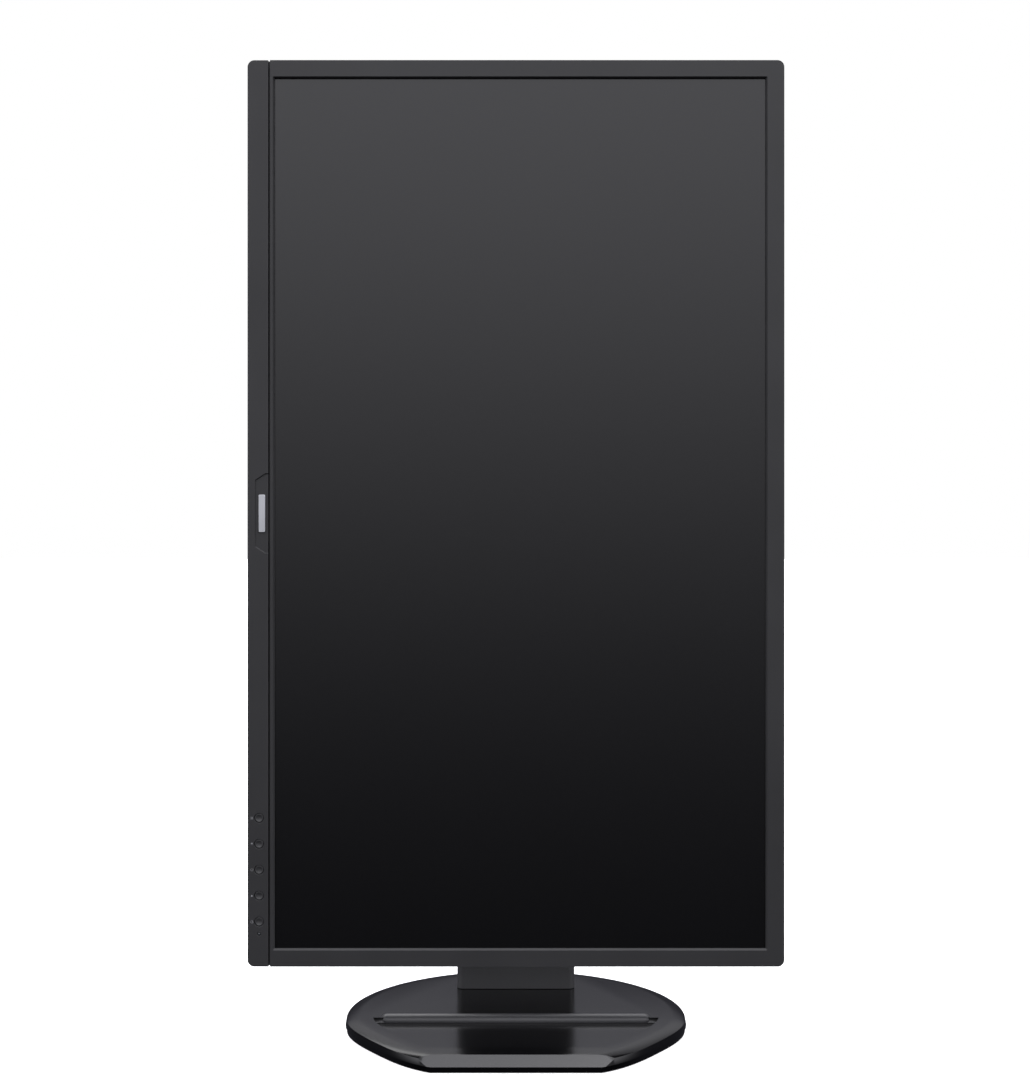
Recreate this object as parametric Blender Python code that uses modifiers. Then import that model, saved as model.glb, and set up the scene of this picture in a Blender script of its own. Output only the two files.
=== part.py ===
"""Desktop computer monitor with its screen turned upright, on a stand that lifts, tilts, turns and swivels it.

Metres, +Z up, the screen faces -Y. The origin is on the desk, under the middle of the base.
The screen head is drawn lying level in its own frame (long side along X) and an empty turns it upright.
"""

import math

import bmesh
import bpy
from mathutils import Matrix, Vector

MM = 0.001
GAP = 0.3 * MM  # left between pieces that touch

# Screen head: x along its long side, y from the front face to the back, z across its short side
HEAD_LONG = 624 * MM
HEAD_SHORT = 369.5 * MM
HEAD_DEPTH = 50 * MM
HEAD_CORNER = 4.7 * MM
WINDOW_LONG = 599.4 * MM
WINDOW_SHORT = 338.3 * MM
LOWER_BORDER = 18.5 * MM  # the wide border, below the window when the head lies level
BEZEL_DEPTH = 16 * MM
FRONT_WALL = 2.2 * MM
SIDE_WALL = 2.0 * MM
TRIM_HEIGHT = 14.3 * MM
TRIM_THICK = 3.0 * MM
TRIM_GROOVE = 1.2 * MM
COVER_WALL = 2.2 * MM
WINDOW_Z = (LOWER_BORDER - HEAD_SHORT / 2, LOWER_BORDER - HEAD_SHORT / 2 + WINDOW_SHORT)
TRIM_TOP = TRIM_HEIGHT - HEAD_SHORT / 2

# Controls on the trim strip
BUTTON_COUNT = 5
BUTTON_FIRST = 209.7 * MM
BUTTON_PITCH = 17.85 * MM
BUTTON_Z = 7.9 * MM - HEAD_SHORT / 2
BUTTON_RADIUS = 3.0 * MM
LED_X = 289.5 * MM
LED_RADIUS = 0.95 * MM

# Back of the head
VESA_PITCH = 100 * MM
VESA_RECESS = 118 * MM
VESA_DEPTH = 4 * MM
BAY_HALF = 168 * MM
BAY_TOP = -103 * MM
BAY_FLOOR = 26 * MM

# Base: a disc with a flat front
BASE_RADIUS = 122.8 * MM
BASE_FLAT = 111 * MM  # from the disc's centre to the flat
BASE_UNDER = 0.4 * MM
BASE_SKIRT = 4.2 * MM
BASE_RIM = 8.4 * MM
BASE_TOP = 10.5 * MM
TRAY_FLOOR = 7.2 * MM
BEAD_Y = -12.7 * MM  # from the disc's centre to the bead, which lies along the tray's back edge
BASE_CENTRE_Y = -7.2 * MM
TURNTABLE_RADIUS = 80 * MM

# Stand: y from the column's front face backwards
COLUMN_Y = 53.6 * MM
COLUMN_WIDTH = 89.4 * MM
COLUMN_DEPTH = 40 * MM
COLUMN_TOP = 511 * MM
COLUMN_WALL = 2.5 * MM
LIFT_DOWN = 36 * MM
LIFT_UP = 94 * MM

# Where the head hangs
PIVOT_HEIGHT = 370.5 * MM
TILT_Y = 15 * MM
TILT_TO_SCREEN = 84.4 * MM  # from the tilt pin forward to the head's front face


def clear_scene():
    for old in list(bpy.data.objects):
        bpy.data.objects.remove(old)


def new_collection(name):
    made = bpy.data.collections.new(name)
    bpy.context.scene.collection.children.link(made)
    return made


def new_material(name, colour, roughness, metallic=0.0):
    made = bpy.data.materials.new(name)
    made.use_nodes = True
    shader = made.node_tree.nodes["Principled BSDF"]
    shader.inputs["Base Color"].default_value = (*colour, 1)
    shader.inputs["Roughness"].default_value = roughness
    shader.inputs["Metallic"].default_value = metallic
    return made


clear_scene()
PARTS = new_collection("computer_monitor")
CUTTERS = new_collection("cutters")

BEZEL_PLASTIC = new_material("bezel_plastic", (0.035, 0.035, 0.036), 0.45)
SCREEN_GLASS = new_material("screen_glass", (0.006, 0.006, 0.007), 0.22)
BADGE_METAL = new_material("badge_metal", (0.62, 0.62, 0.63), 0.3, 0.8)
LED_LENS = new_material("led_lens", (0.5, 0.52, 0.55), 0.2)
STAND_PLASTIC = new_material("stand_plastic", (0.03, 0.03, 0.032), 0.38)
STEEL = new_material("steel", (0.5, 0.5, 0.5), 0.35, 1.0)
CIRCUIT_BOARD = new_material("circuit_board", (0.02, 0.12, 0.04), 0.5)
PORT_METAL = new_material("port_metal", (0.6, 0.6, 0.6), 0.3, 1.0)
PORT_PLASTIC = new_material("port_plastic", (0.02, 0.02, 0.02), 0.5)
FILM_PLASTIC = new_material("film_plastic", (0.85, 0.85, 0.83), 0.4)
RUBBER = new_material("rubber", (0.02, 0.02, 0.02), 0.9)
NYLON = new_material("nylon", (0.75, 0.74, 0.7), 0.5)


def new_frame(name, location, parent=None, turn_about_y=0.0):
    """An empty that pieces are placed from, on the axis that they move about."""
    frame = bpy.data.objects.new(name, None)
    bpy.context.scene.collection.objects.link(frame)
    frame.parent = parent
    frame.location = location
    frame.rotation_euler = (0, turn_about_y, 0)
    return frame


def new_object(name, mesh, frame, material=None):
    """A piece, or a cutter where it has no material, placed in a frame."""
    made = bpy.data.objects.new(name, mesh)
    made.parent = frame
    if material:
        PARTS.objects.link(made)
        mesh.materials.append(material)
    else:
        CUTTERS.objects.link(made)
        made.hide_render = True
        made.display_type = "WIRE"
    return made


def mesh_from(name, bm):
    mesh = bpy.data.meshes.new(name)
    bm.to_mesh(mesh)
    bm.free()
    return mesh


def block(name, frame, x, y, z, material=None, radius=0.0, along=1, segments=4, edges=None):
    """A box between the limits x, y and z. Its edges along one axis (0, 1 or 2) are rounded to radius.

    edges, if given, says from an edge's middle point whether it is one of those rounded."""
    low, high = (Vector(corner) for corner in zip(x, y, z))
    bm = bmesh.new()
    place = Matrix.Translation((low + high) / 2) @ Matrix.Diagonal((*(high - low), 1))
    bmesh.ops.create_cube(bm, size=1, matrix=place)
    if radius:
        picked = []
        for edge in bm.edges:
            start, end = (vertex.co for vertex in edge.verts)
            if abs((end - start).normalized()[along]) > 0.9 and (edges is None or edges((start + end) / 2)):
                picked.append(edge)
        bmesh.ops.bevel(bm, geom=picked, offset=radius, segments=segments, profile=0.5, affect="EDGES")
    return new_object(name, mesh_from(name, bm), frame, material)


def turned(name, frame, profile, place, axis, material=None, steps=24):
    """A turned piece. profile holds (radius, height) down its outer side; axis is X, Y or Z.

    A profile that starts and ends at radius 0 is solid, and one that closes on itself is a ring."""
    bm = bmesh.new()
    points = [bm.verts.new((radius, 0, height)) for radius, height in profile]
    for start, end in zip(points, points[1:]):
        bm.edges.new((start, end))
    made = new_object(name, mesh_from(name, bm), frame, material)
    screw = made.modifiers.new("turn", "SCREW")
    screw.steps = screw.render_steps = steps
    screw.use_merge_vertices = True
    screw.merge_threshold = 0.00001
    made.location = place
    made.rotation_euler = {
        "X": (0, math.radians(90), 0),
        "Y": (math.radians(-90), 0, 0),
        "Z": (0, 0, 0),
    }[axis]
    return made


def rod(name, frame, radius, low, high, place, axis, material=None, steps=24):
    """A plain cylinder from low to high along its axis."""
    profile = [(0, high), (radius, high), (radius, low), (0, low)]
    return turned(name, frame, profile, place, axis, material, steps)


def ring(name, frame, outer, inner, low, high, place, axis, material=None, steps=24):
    profile = [(outer, high), (outer, low), (inner, low), (inner, high), (outer, high)]
    return turned(name, frame, profile, place, axis, material, steps)


def loft(name, frame, sections, material=None):
    """A closed solid through sections of equally many points, each in order round the shape."""
    bm = bmesh.new()
    rows = [[bm.verts.new(point) for point in section] for section in sections]
    count = len(rows[0])
    for lower, upper in zip(rows, rows[1:]):
        for i in range(count):
            j = (i + 1) % count
            bm.faces.new((lower[i], lower[j], upper[j], upper[i]))
    bm.faces.new(rows[0])
    bm.faces.new(rows[-1])
    bmesh.ops.recalc_face_normals(bm, faces=bm.faces)
    return new_object(name, mesh_from(name, bm), frame, material)


def combine(target, operation, others):
    for other in others:
        modifier = target.modifiers.new(f"{operation.lower()} {other.name}", "BOOLEAN")
        modifier.operation = operation
        modifier.solver = "EXACT"
        modifier.object = other
    return target


def cut(target, *cutters):
    return combine(target, "DIFFERENCE", cutters)


def join(target, *others):
    return combine(target, "UNION", others)


def both_sides(inner, outer):
    """The x limits of a pair of pieces that mirror each other."""
    return ((-outer, -inner), (inner, outer))


def rounded_rectangle(width, height, radius, segments=6):
    """Points in order round a rectangle with round corners, as (x, z)."""
    points = []
    for quarter, (side_x, side_z) in enumerate(((1, 1), (-1, 1), (-1, -1), (1, -1))):
        centre_x, centre_z = side_x * (width / 2 - radius), side_z * (height / 2 - radius)
        for step in range(segments + 1):
            angle = math.radians(90) * (quarter + step / segments)
            points.append((centre_x + radius * math.cos(angle), centre_z + radius * math.sin(angle)))
    return points


# ---------------------------------------------------------------- screen head


def head_outline(name, frame, y, material=None):
    half_long, half_short = HEAD_LONG / 2, HEAD_SHORT / 2
    return block(
        name, frame, (-half_long, half_long), y, (-half_short, half_short), material, radius=HEAD_CORNER
    )


def button_places():
    return [BUTTON_FIRST + BUTTON_PITCH * i for i in range(BUTTON_COUNT)]


def make_front_bezel(head):
    """The frame round the window, with a rebate along its lower border for the trim strip."""
    far = HEAD_LONG
    inner_x = HEAD_LONG / 2 - SIDE_WALL
    inner_z = HEAD_SHORT / 2 - SIDE_WALL
    rebate_top = TRIM_TOP + TRIM_GROOVE
    shelf_back = TRIM_THICK + GAP + FRONT_WALL
    bezel = head_outline("front_bezel", head, (0, BEZEL_DEPTH), BEZEL_PLASTIC)
    hollow = block(
        "bezel_hollow", head, (-inner_x, inner_x), (FRONT_WALL, far), (rebate_top + 1.3 * MM, inner_z)
    )
    lower_hollow = block(
        "bezel_lower_hollow", head, (-inner_x, inner_x), (shelf_back, far), (-inner_z, rebate_top + 2.2 * MM)
    )
    rebate = block("trim_rebate", head, (-far, far), (-far, TRIM_THICK + GAP), (-far, rebate_top))
    half_window = WINDOW_LONG / 2
    window = block("window", head, (-half_window, half_window), (-far, FRONT_WALL + 0.1 * MM), WINDOW_Z)
    button_slot = block(
        "button_slot",
        head,
        (BUTTON_FIRST - 7 * MM, LED_X + 5 * MM),
        (-far, far),
        (BUTTON_Z - 5 * MM, BUTTON_Z + 5 * MM),
    )
    return cut(bezel, hollow, lower_hollow, rebate, window, button_slot)


def make_trim_strip(head):
    """The strip that covers the lower border, with the buttons' holes and a shallow nameplate recess."""
    trim = head_outline("trim_strip", head, (0, TRIM_THICK), BEZEL_PLASTIC)
    above = block("above_trim", head, (-1, 1), (-1, 1), (TRIM_TOP, 1))
    deep = 0.8 * MM
    half_recess, slant, low = 27.4 * MM, 4.5 * MM, TRIM_TOP - 9 * MM
    outline = [
        (-half_recess, TRIM_TOP + 2 * MM),
        (half_recess, TRIM_TOP + 2 * MM),
        (half_recess, TRIM_TOP - 2 * MM),
        (half_recess - slant, low),
        (slant - half_recess, low),
        (-half_recess, TRIM_TOP - 2 * MM),
    ]
    recess = loft("badge_recess", head, [[(x, y, z) for x, z in outline] for y in (-5 * MM, deep)])
    holes = [
        rod(f"button_hole_{i}", head, BUTTON_RADIUS + 0.25 * MM, -1 * MM, 5 * MM, (x, 0, BUTTON_Z), "Y")
        for i, x in enumerate(button_places())
    ]
    led_hole = rod("led_hole", head, LED_RADIUS + 0.25 * MM, -1 * MM, 5 * MM, (LED_X, 0, BUTTON_Z), "Y", steps=12)
    cut(trim, above, recess, *holes, led_hole)
    half_badge = 13 * MM
    badge_z = TRIM_TOP - 4.4 * MM
    block(
        "badge_plate",
        head,
        (-half_badge, half_badge),
        (0.05 * MM, deep - GAP),
        (badge_z - 2.3 * MM, badge_z + 2.3 * MM),
        BADGE_METAL,
        radius=0.8 * MM,
        segments=2,
    )


def make_buttons(head):
    """Round push buttons with a dished cap, a flange that holds each behind the strip, and a stem."""
    names = ("menu", "volume", "input", "scene", "power")
    cap, flange, stem = BUTTON_RADIUS, 4.2 * MM, 1.6 * MM
    heights = [-0.75, -0.65, -0.3, -0.3, -0.6, -3.5, -3.5, -4.6, -4.6, -8.2, -8.2]
    radii = [0, 1.3 * MM, cap - 0.7 * MM, cap - 0.3 * MM, cap, cap, flange, flange, stem, stem, 0]
    profile = [(radius, height * MM) for radius, height in zip(radii, heights)]
    for name, x in zip(names, button_places()):
        button = turned(f"button_{name}", head, profile, (x, 0, BUTTON_Z), "Y", BEZEL_PLASTIC, steps=16)
        button.rotation_euler = (math.radians(90), 0, 0)  # the cap faces forward, so depths are negative
    rod("power_led_lens", head, LED_RADIUS, 0.1 * MM, 7 * MM, (LED_X, 0, BUTTON_Z), "Y", LED_LENS, steps=12)


def make_key_board(head):
    """The circuit board behind the buttons, with one switch soldered behind each stem."""
    front = 10.6 * MM
    half_height = 4.4 * MM
    board = block(
        "key_board",
        head,
        (BUTTON_FIRST - 9 * MM, LED_X + 7 * MM),
        (front, front + 1.2 * MM),
        (BUTTON_Z - half_height, BUTTON_Z + half_height),
        CIRCUIT_BOARD,
    )
    half_switch = 2.2 * MM
    switches = [
        block(
            f"switch_{i}",
            head,
            (x - half_switch, x + half_switch),
            (front - 1.3 * MM, front + 0.2 * MM),
            (BUTTON_Z - half_switch, BUTTON_Z + half_switch),
        )
        for i, x in enumerate(button_places())
    ]
    join(board, *switches)


def sheet(name, head, half_x, z, y, material):
    return block(name, head, (-half_x, half_x), y, z, material)


def make_display_panel(head):
    """The LCD module: glass, films, light guide and its light bar, in a plastic frame and a steel tray."""
    low, high = WINDOW_Z
    sheet("lcd_cell", head, 301.5 * MM, (low - 0.45 * MM, high + 0.45 * MM), (2.5 * MM, 4.1 * MM), SCREEN_GLASS)
    films = (low + 1.2 * MM, high - 0.1 * MM)
    sheet("optical_films", head, 300.5 * MM, films, (4.4 * MM, 5.6 * MM), FILM_PLASTIC)
    sheet("light_guide", head, 300.5 * MM, (low + 2.3 * MM, films[1]), (5.9 * MM, 8.9 * MM), FILM_PLASTIC)
    sheet("led_bar", head, 299 * MM, (low, low + 1.9 * MM), (5.9 * MM, 8.9 * MM), CIRCUIT_BOARD)
    tray_z = (low - 1.1 * MM, high + 2.4 * MM)
    tray_half, tray_wall = 306 * MM, 0.8 * MM
    tray = sheet("panel_chassis", head, tray_half, tray_z, (4.4 * MM, 10.9 * MM), STEEL)
    inside = sheet(
        "panel_chassis_inside",
        head,
        tray_half - tray_wall,
        (tray_z[0] + tray_wall, tray_z[1] - tray_wall),
        (0, 10.1 * MM),
        None,
    )
    cut(tray, inside)
    frame_half = tray_half - tray_wall - GAP
    frame = sheet(
        "panel_frame", head, frame_half, (films[1] + 0.3 * MM, tray_z[1] - tray_wall - GAP), (4.4 * MM, 9.6 * MM), BEZEL_PLASTIC
    )
    legs = [
        block(f"frame_leg_{i}", head, x, (4.4 * MM, 9.6 * MM), (low + 0.3 * MM, high + 0.6 * MM))
        for i, x in enumerate(both_sides(300.9 * MM, frame_half))
    ]
    join(frame, *legs)


def make_chassis_bracket(head):
    """The steel plate behind the panel, with four tapped posts that the stand's plate is screwed to."""
    plate = block("chassis_bracket", head, (-130 * MM, 130 * MM), (11.2 * MM, 12.7 * MM), (-80 * MM, 80 * MM), STEEL)
    post_top = HEAD_DEPTH - VESA_DEPTH - COVER_WALL - GAP
    posts, holes = [], []
    for i, (x, z) in enumerate(vesa_places()):
        posts.append(rod(f"post_{i}", head, 4.6 * MM, 12 * MM, post_top, (x, 0, z), "Y", steps=16))
        holes.append(rod(f"post_hole_{i}", head, 2.3 * MM, 20 * MM, 60 * MM, (x, 0, z), "Y", steps=16))
    join(plate, *posts)
    cut(plate, *holes)


def vesa_places():
    half = VESA_PITCH / 2
    return [(-half, -half), (half, -half), (half, half), (-half, half)]


def make_boards(head):
    """The picture board and the mains board, each with its larger components."""
    back = 27.6 * MM
    z = (-98 * MM, 60 * MM)
    picture = block("main_board", head, (-165 * MM, -62 * MM), (26 * MM, back), z, CIRCUIT_BOARD)
    chips = [
        block("scaler_chip", head, (-125 * MM, -97 * MM), (27 * MM, 30 * MM), (-30 * MM, -2 * MM)),
        block("heat_sink", head, (-150 * MM, -120 * MM), (27 * MM, 38 * MM), (20 * MM, 45 * MM)),
        block("memory_chip", head, (-88 * MM, -76 * MM), (27 * MM, 29 * MM), (-25 * MM, -7 * MM)),
    ]
    join(picture, *chips)
    power = block("power_board", head, (62 * MM, 165 * MM), (26 * MM, back), z, CIRCUIT_BOARD)
    components = [
        block("transformer", head, (85 * MM, 117 * MM), (27 * MM, 44 * MM), (-20 * MM, 12 * MM)),
        rod("reservoir_capacitor", head, 11 * MM, 27 * MM, 45 * MM, (140 * MM, 0, -10 * MM), "Y", steps=16),
        block("mains_choke", head, (125 * MM, 150 * MM), (27 * MM, 42 * MM), (-62 * MM, -40 * MM)),
    ]
    join(power, *components)


def make_speakers(head):
    for name, (left, right) in zip(("speaker_left", "speaker_right"), both_sides(192 * MM, 252 * MM)):
        z = (-150 * MM, -122 * MM)
        speaker = block(name, head, (left, right), (13 * MM, 31 * MM), z, PORT_PLASTIC, radius=3 * MM, segments=2)
        place = ((left + right) / 2, 0, sum(z) / 2)
        join(speaker, rod(f"{name}_cone", head, 12 * MM, 30 * MM, 32.5 * MM, place, "Y", steps=24))


def ports():
    """Name, x limits, y limits, cavity margin, tongue thickness and material of each socket in the bay."""
    return (
        ("ac_inlet", (108 * MM, 135 * MM), (28 * MM, 46 * MM), 2.4 * MM, 0, PORT_PLASTIC),
        ("hdmi_port", (-152 * MM, -136.6 * MM), (30 * MM, 36 * MM), 0.6 * MM, 1.4 * MM, PORT_METAL),
        ("display_port", (-126 * MM, -108 * MM), (30 * MM, 36.6 * MM), 0.7 * MM, 1.6 * MM, PORT_METAL),
        ("vga_port", (-98 * MM, -67 * MM), (28.2 * MM, 40.6 * MM), 2.2 * MM, 3.4 * MM, PORT_METAL),
    )


def make_ports(head):
    """Sockets whose mouths face out of the bay, each with its tongue or pins inside."""
    mouth, inner_end, back_end = BAY_TOP - 0.6 * MM, BAY_TOP + 11 * MM, BAY_TOP + 14 * MM
    for name, (left, right), (near, far), margin, tongue, material in ports():
        socket = block(name, head, (left, right), (near, far), (mouth, back_end), material)
        cavity = block(
            f"{name}_cavity",
            head,
            (left + margin, right - margin),
            (near + margin, far - margin),
            (mouth - 5 * MM, inner_end),
        )
        cut(socket, cavity)
        middle = (near + far) / 2
        if tongue:
            tongue_x = (left + margin + 1.5 * MM, right - margin - 1.5 * MM)
            tongue_y = (middle - tongue / 2, middle + tongue / 2)
            fingers = [block(f"{name}_tongue", head, tongue_x, tongue_y, (mouth + 1.5 * MM, back_end - 1 * MM))]
        else:
            centre = (left + right) / 2
            fingers = [
                block(
                    f"{name}_pin_{i}",
                    head,
                    (centre + side - 1 * MM, centre + side + 1 * MM),
                    (middle - 2 * MM, middle + 2 * MM),
                    (mouth + 2 * MM, back_end - 1 * MM),
                )
                for i, side in enumerate((-7 * MM, 0, 7 * MM))
            ]
        join(socket, *fingers)


def cover_sections(inset, front):
    """The rear cover's outline at five depths, or the same shape shrunk by inset for its inside."""
    shape = (
        (front, 622 * MM, 367.5 * MM, 4.5 * MM),
        (24 * MM - inset, 620 * MM, 365.5 * MM, 5 * MM),
        (40 * MM - inset, 540 * MM, 286 * MM, 24 * MM),
        (48 * MM - inset, 512 * MM, 258 * MM, 30 * MM),
        (HEAD_DEPTH - inset, 504 * MM, 250 * MM, 28 * MM),
    )
    return [
        [(x, y, z) for x, z in rounded_rectangle(width - 2 * inset, height - 2 * inset, radius)]
        for y, width, height, radius in shape
    ]


def make_rear_cover(head):
    """The back shell: a hollow loft, with pockets for the stand's plate and for the sockets, and vents."""
    cover = loft("rear_cover", head, cover_sections(0, BEZEL_DEPTH + GAP), BEZEL_PLASTIC)
    hollow = loft("cover_hollow", head, cover_sections(COVER_WALL, BEZEL_DEPTH - 5 * MM))
    wall = COVER_WALL
    bay_x = BAY_HALF + wall
    bay_walls = block("bay_walls", head, (-bay_x, bay_x), (BAY_FLOOR - wall, 1), (-1, BAY_TOP + wall))
    half_recess = VESA_RECESS / 2
    recess_floor = HEAD_DEPTH - VESA_DEPTH
    half_walls = half_recess + wall
    recess_walls = block(
        "recess_walls", head, (-half_walls, half_walls), (recess_floor - wall, 1), (-half_walls, half_walls)
    )
    cut(hollow, bay_walls, recess_walls)
    bay = block("bay", head, (-BAY_HALF, BAY_HALF), (BAY_FLOOR, 1), (-1, BAY_TOP))
    recess = block(
        "recess", head, (-half_recess, half_recess), (recess_floor, 1), (-half_recess, half_recess), radius=8 * MM
    )
    cut(cover, hollow, bay, recess)
    clear = 0.4 * MM
    for name, (left, right), (near, far), *_ in ports():
        window = block(
            f"{name}_window",
            head,
            (left - clear, right + clear),
            (near - clear, far + clear),
            (BAY_TOP - 2 * MM, BAY_TOP + 2 * wall),
        )
        cut(cover, window)
    for i, (x, z) in enumerate(vesa_places()):
        cut(cover, rod(f"cover_screw_hole_{i}", head, 2.6 * MM, 30 * MM, 60 * MM, (x, 0, z), "Y", steps=12))
    cut(cover, make_vent_cutter(head))


def make_vent_cutter(head):
    """Two rows of upright slots along the cover's upper edge."""
    pitch, half_width, count = 11 * MM, 1.6 * MM, 34
    bm = bmesh.new()
    for low, high in ((72 * MM, 92 * MM), (98 * MM, 118 * MM)):
        for i in range(count):
            x = pitch * (i - (count - 1) / 2)
            centre = Vector((x, HEAD_DEPTH, (low + high) / 2))
            size = Vector((2 * half_width, 12 * MM, high - low))
            bmesh.ops.create_cube(bm, size=1, matrix=Matrix.Translation(centre) @ Matrix.Diagonal((*size, 1)))
    return new_object("vent_slots", mesh_from("vent_slots", bm), head)


def make_vesa_fixing(head):
    """The stand's square plate, its four screws, and the hub that the head turns on."""
    half = 56 * MM
    low = HEAD_DEPTH - VESA_DEPTH + GAP
    high = low + 3 * MM
    plate = block("vesa_plate", head, (-half, half), (low, high), (-half, half), STEEL, radius=8 * MM)
    for i, (x, z) in enumerate(vesa_places()):
        cut(plate, rod(f"plate_hole_{i}", head, 2.6 * MM, low - MM, high + MM, (x, 0, z), "Y", steps=16))
        head_low, head_high, end = high + GAP, high + 2.7 * MM, 33 * MM
        profile = [(0, head_high), (3.2 * MM, head_high), (4 * MM, head_high - 0.8 * MM), (4 * MM, head_low)]
        profile += [(1.95 * MM, head_low), (1.95 * MM, end), (0, end)]
        turned(f"vesa_screw_{i + 1}", head, profile, (x, 0, z), "Y", STEEL, steps=12)
    hub_low, hub_high, spindle_end = high + GAP, high + 7.7 * MM, high + 23.7 * MM
    profile = [(0, spindle_end), (9 * MM, spindle_end), (9 * MM, hub_high), (29 * MM, hub_high)]
    profile += [(29 * MM, hub_low), (0, hub_low)]
    turned("pivot_hub", head, profile, (0, 0, 0), "Y", STEEL, steps=32)
    nut_low, nut_high = high + 14.1 * MM, high + 22.1 * MM
    ring("pivot_nut", head, 15.6 * MM, 11 * MM, nut_low, nut_high, (0, 0, 0), "Y", STEEL, steps=6)


# ---------------------------------------------------------------- tilt hinge


def make_pivot_bracket(tilt):
    """The plate behind the hub, with two cheeks that turn on the tilt pin."""
    front, back = -27.1 * MM, -23.1 * MM
    plate = rod("pivot_bracket", tilt, 36 * MM, front, back, (0, 0, 0), "Y", STEEL, steps=32)
    pieces = []
    for i, x in enumerate(both_sides(24 * MM, 28 * MM)):
        pieces.append(block(f"cheek_{i}", tilt, x, (back - MM, 0), (-12 * MM, 12 * MM)))
        pieces.append(rod(f"cheek_end_{i}", tilt, 12 * MM, *x, (0, 0, 0), "X", steps=24))
    join(plate, *pieces)
    cut(
        plate,
        rod("spindle_hole", tilt, 9.4 * MM, front - MM, back + 3 * MM, (0, 0, 0), "Y"),
        rod("pin_hole", tilt, 5.4 * MM, -40 * MM, 40 * MM, (0, 0, 0), "X"),
    )
    ring("pivot_washer", tilt, 16 * MM, 9.4 * MM, back + GAP, back + 1.8 * MM, (0, 0, 0), "Y", NYLON)
    for name, (left, right) in zip(("tilt_washer_left", "tilt_washer_right"), both_sides(28.3 * MM, 30.2 * MM)):
        ring(name, tilt, 10 * MM, 5.4 * MM, left, right, (0, 0, 0), "X", NYLON)


def make_lift_arm(lift):
    """The arm that reaches through the column's slot and holds the tilt pin between two ears."""
    arm = block("lift_arm", lift, (-36.5 * MM, 36.5 * MM), (16 * MM, 22 * MM), (-16 * MM, 16 * MM), STEEL)
    pieces = [block("arm_neck", lift, (-20 * MM, 20 * MM), (20 * MM, 44.7 * MM), (-18 * MM, 18 * MM))]
    for i, x in enumerate(both_sides(30.5 * MM, 36.5 * MM)):
        pieces.append(block(f"ear_{i}", lift, x, (0, 18 * MM), (-13 * MM, 13 * MM)))
        pieces.append(rod(f"ear_end_{i}", lift, 13 * MM, *x, (0, 0, 0), "X", steps=24))
    join(arm, *pieces)
    cut(arm, rod("ear_hole", lift, 5.4 * MM, -40 * MM, 40 * MM, (0, 0, 0), "X"))
    rod("tilt_pin", lift, 5 * MM, -38.2 * MM, 38.2 * MM, (0, 0, 0), "X", STEEL)


def make_tilt_spring(lift):
    """The torsion spring round the tilt pin that carries the head's forward weight."""
    turns, per_turn, radius, wire, half_length = 5, 10, 8.2 * MM, 1.1 * MM, 13 * MM
    data = bpy.data.curves.new("tilt_spring", "CURVE")
    data.dimensions = "3D"
    data.bevel_depth = wire
    data.bevel_resolution = 1
    data.use_fill_caps = True
    line = data.splines.new("POLY")
    count = turns * per_turn + 1
    line.points.add(count - 1)
    for i in range(count):
        angle = 2 * math.pi * i / per_turn
        x = half_length * (2 * i / (count - 1) - 1)
        line.points[i].co = (x, radius * math.cos(angle), radius * math.sin(angle), 1)
    data.materials.append(STEEL)
    spring = bpy.data.objects.new("tilt_spring", data)
    spring.parent = lift
    PARTS.objects.link(spring)


def make_hinge_cover(lift):
    """The plastic sleeve round the hinge, open towards the head."""
    half_x, half_z, front, back, wall = 40.5 * MM, 26 * MM, -12.5 * MM, 38.3 * MM, 2 * MM
    sleeve = block(
        "hinge_cover", lift, (-half_x, half_x), (front, back), (-half_z, half_z), STAND_PLASTIC, radius=9 * MM
    )
    inside_x, inside_z = half_x - wall, half_z - wall
    inside = block(
        "hinge_inside", lift, (-inside_x, inside_x), (-1, back - wall), (-inside_z, inside_z), radius=7 * MM
    )
    neck_hole = block("neck_hole", lift, (-20.5 * MM, 20.5 * MM), (-1, 1), (-18.5 * MM, 18.5 * MM))
    cut(sleeve, inside, neck_hole)


# ---------------------------------------------------------------- lift

ROD_X = 27 * MM
ROD_Y = 58 * MM  # behind the tilt pin
ROLL_DROP = 54 * MM
COLUMN_TO_TILT = COLUMN_Y - TILT_Y


def make_carriage(lift):
    """The block that runs on the guide rods, with the lift spring's coil on an axle below it."""
    half_height = 38 * MM
    carriage = block("carriage", lift, (-33 * MM, 33 * MM), (45 * MM, 53 * MM), (-half_height, half_height), STEEL)
    tubes, ears = [], []
    for i, x in enumerate((-ROD_X, ROD_X)):
        low, high = -half_height - MM, half_height + MM
        tubes.append(ring(f"shoe_{i}", lift, 7 * MM, 3.5 * MM, low, high, (x, ROD_Y, 0), "Z", steps=24))
    for i, x in enumerate(both_sides(13.5 * MM, 16.5 * MM)):
        ears.append(block(f"roll_ear_{i}", lift, x, (51 * MM, 65 * MM), (-62 * MM, -34 * MM)))
    join(carriage, *tubes, *ears)
    axle_place = (0, ROD_Y, -ROLL_DROP)
    cut(carriage, rod("axle_hole", lift, 3.4 * MM, -30 * MM, 30 * MM, axle_place, "X", steps=24))
    rod("spring_axle", lift, 3.1 * MM, -17 * MM, 17 * MM, axle_place, "X", STEEL, steps=12)
    ring("lift_spring_roll", lift, 11.5 * MM, 3.5 * MM, -9.5 * MM, 9.5 * MM, axle_place, "X", STEEL, steps=24)


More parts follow.
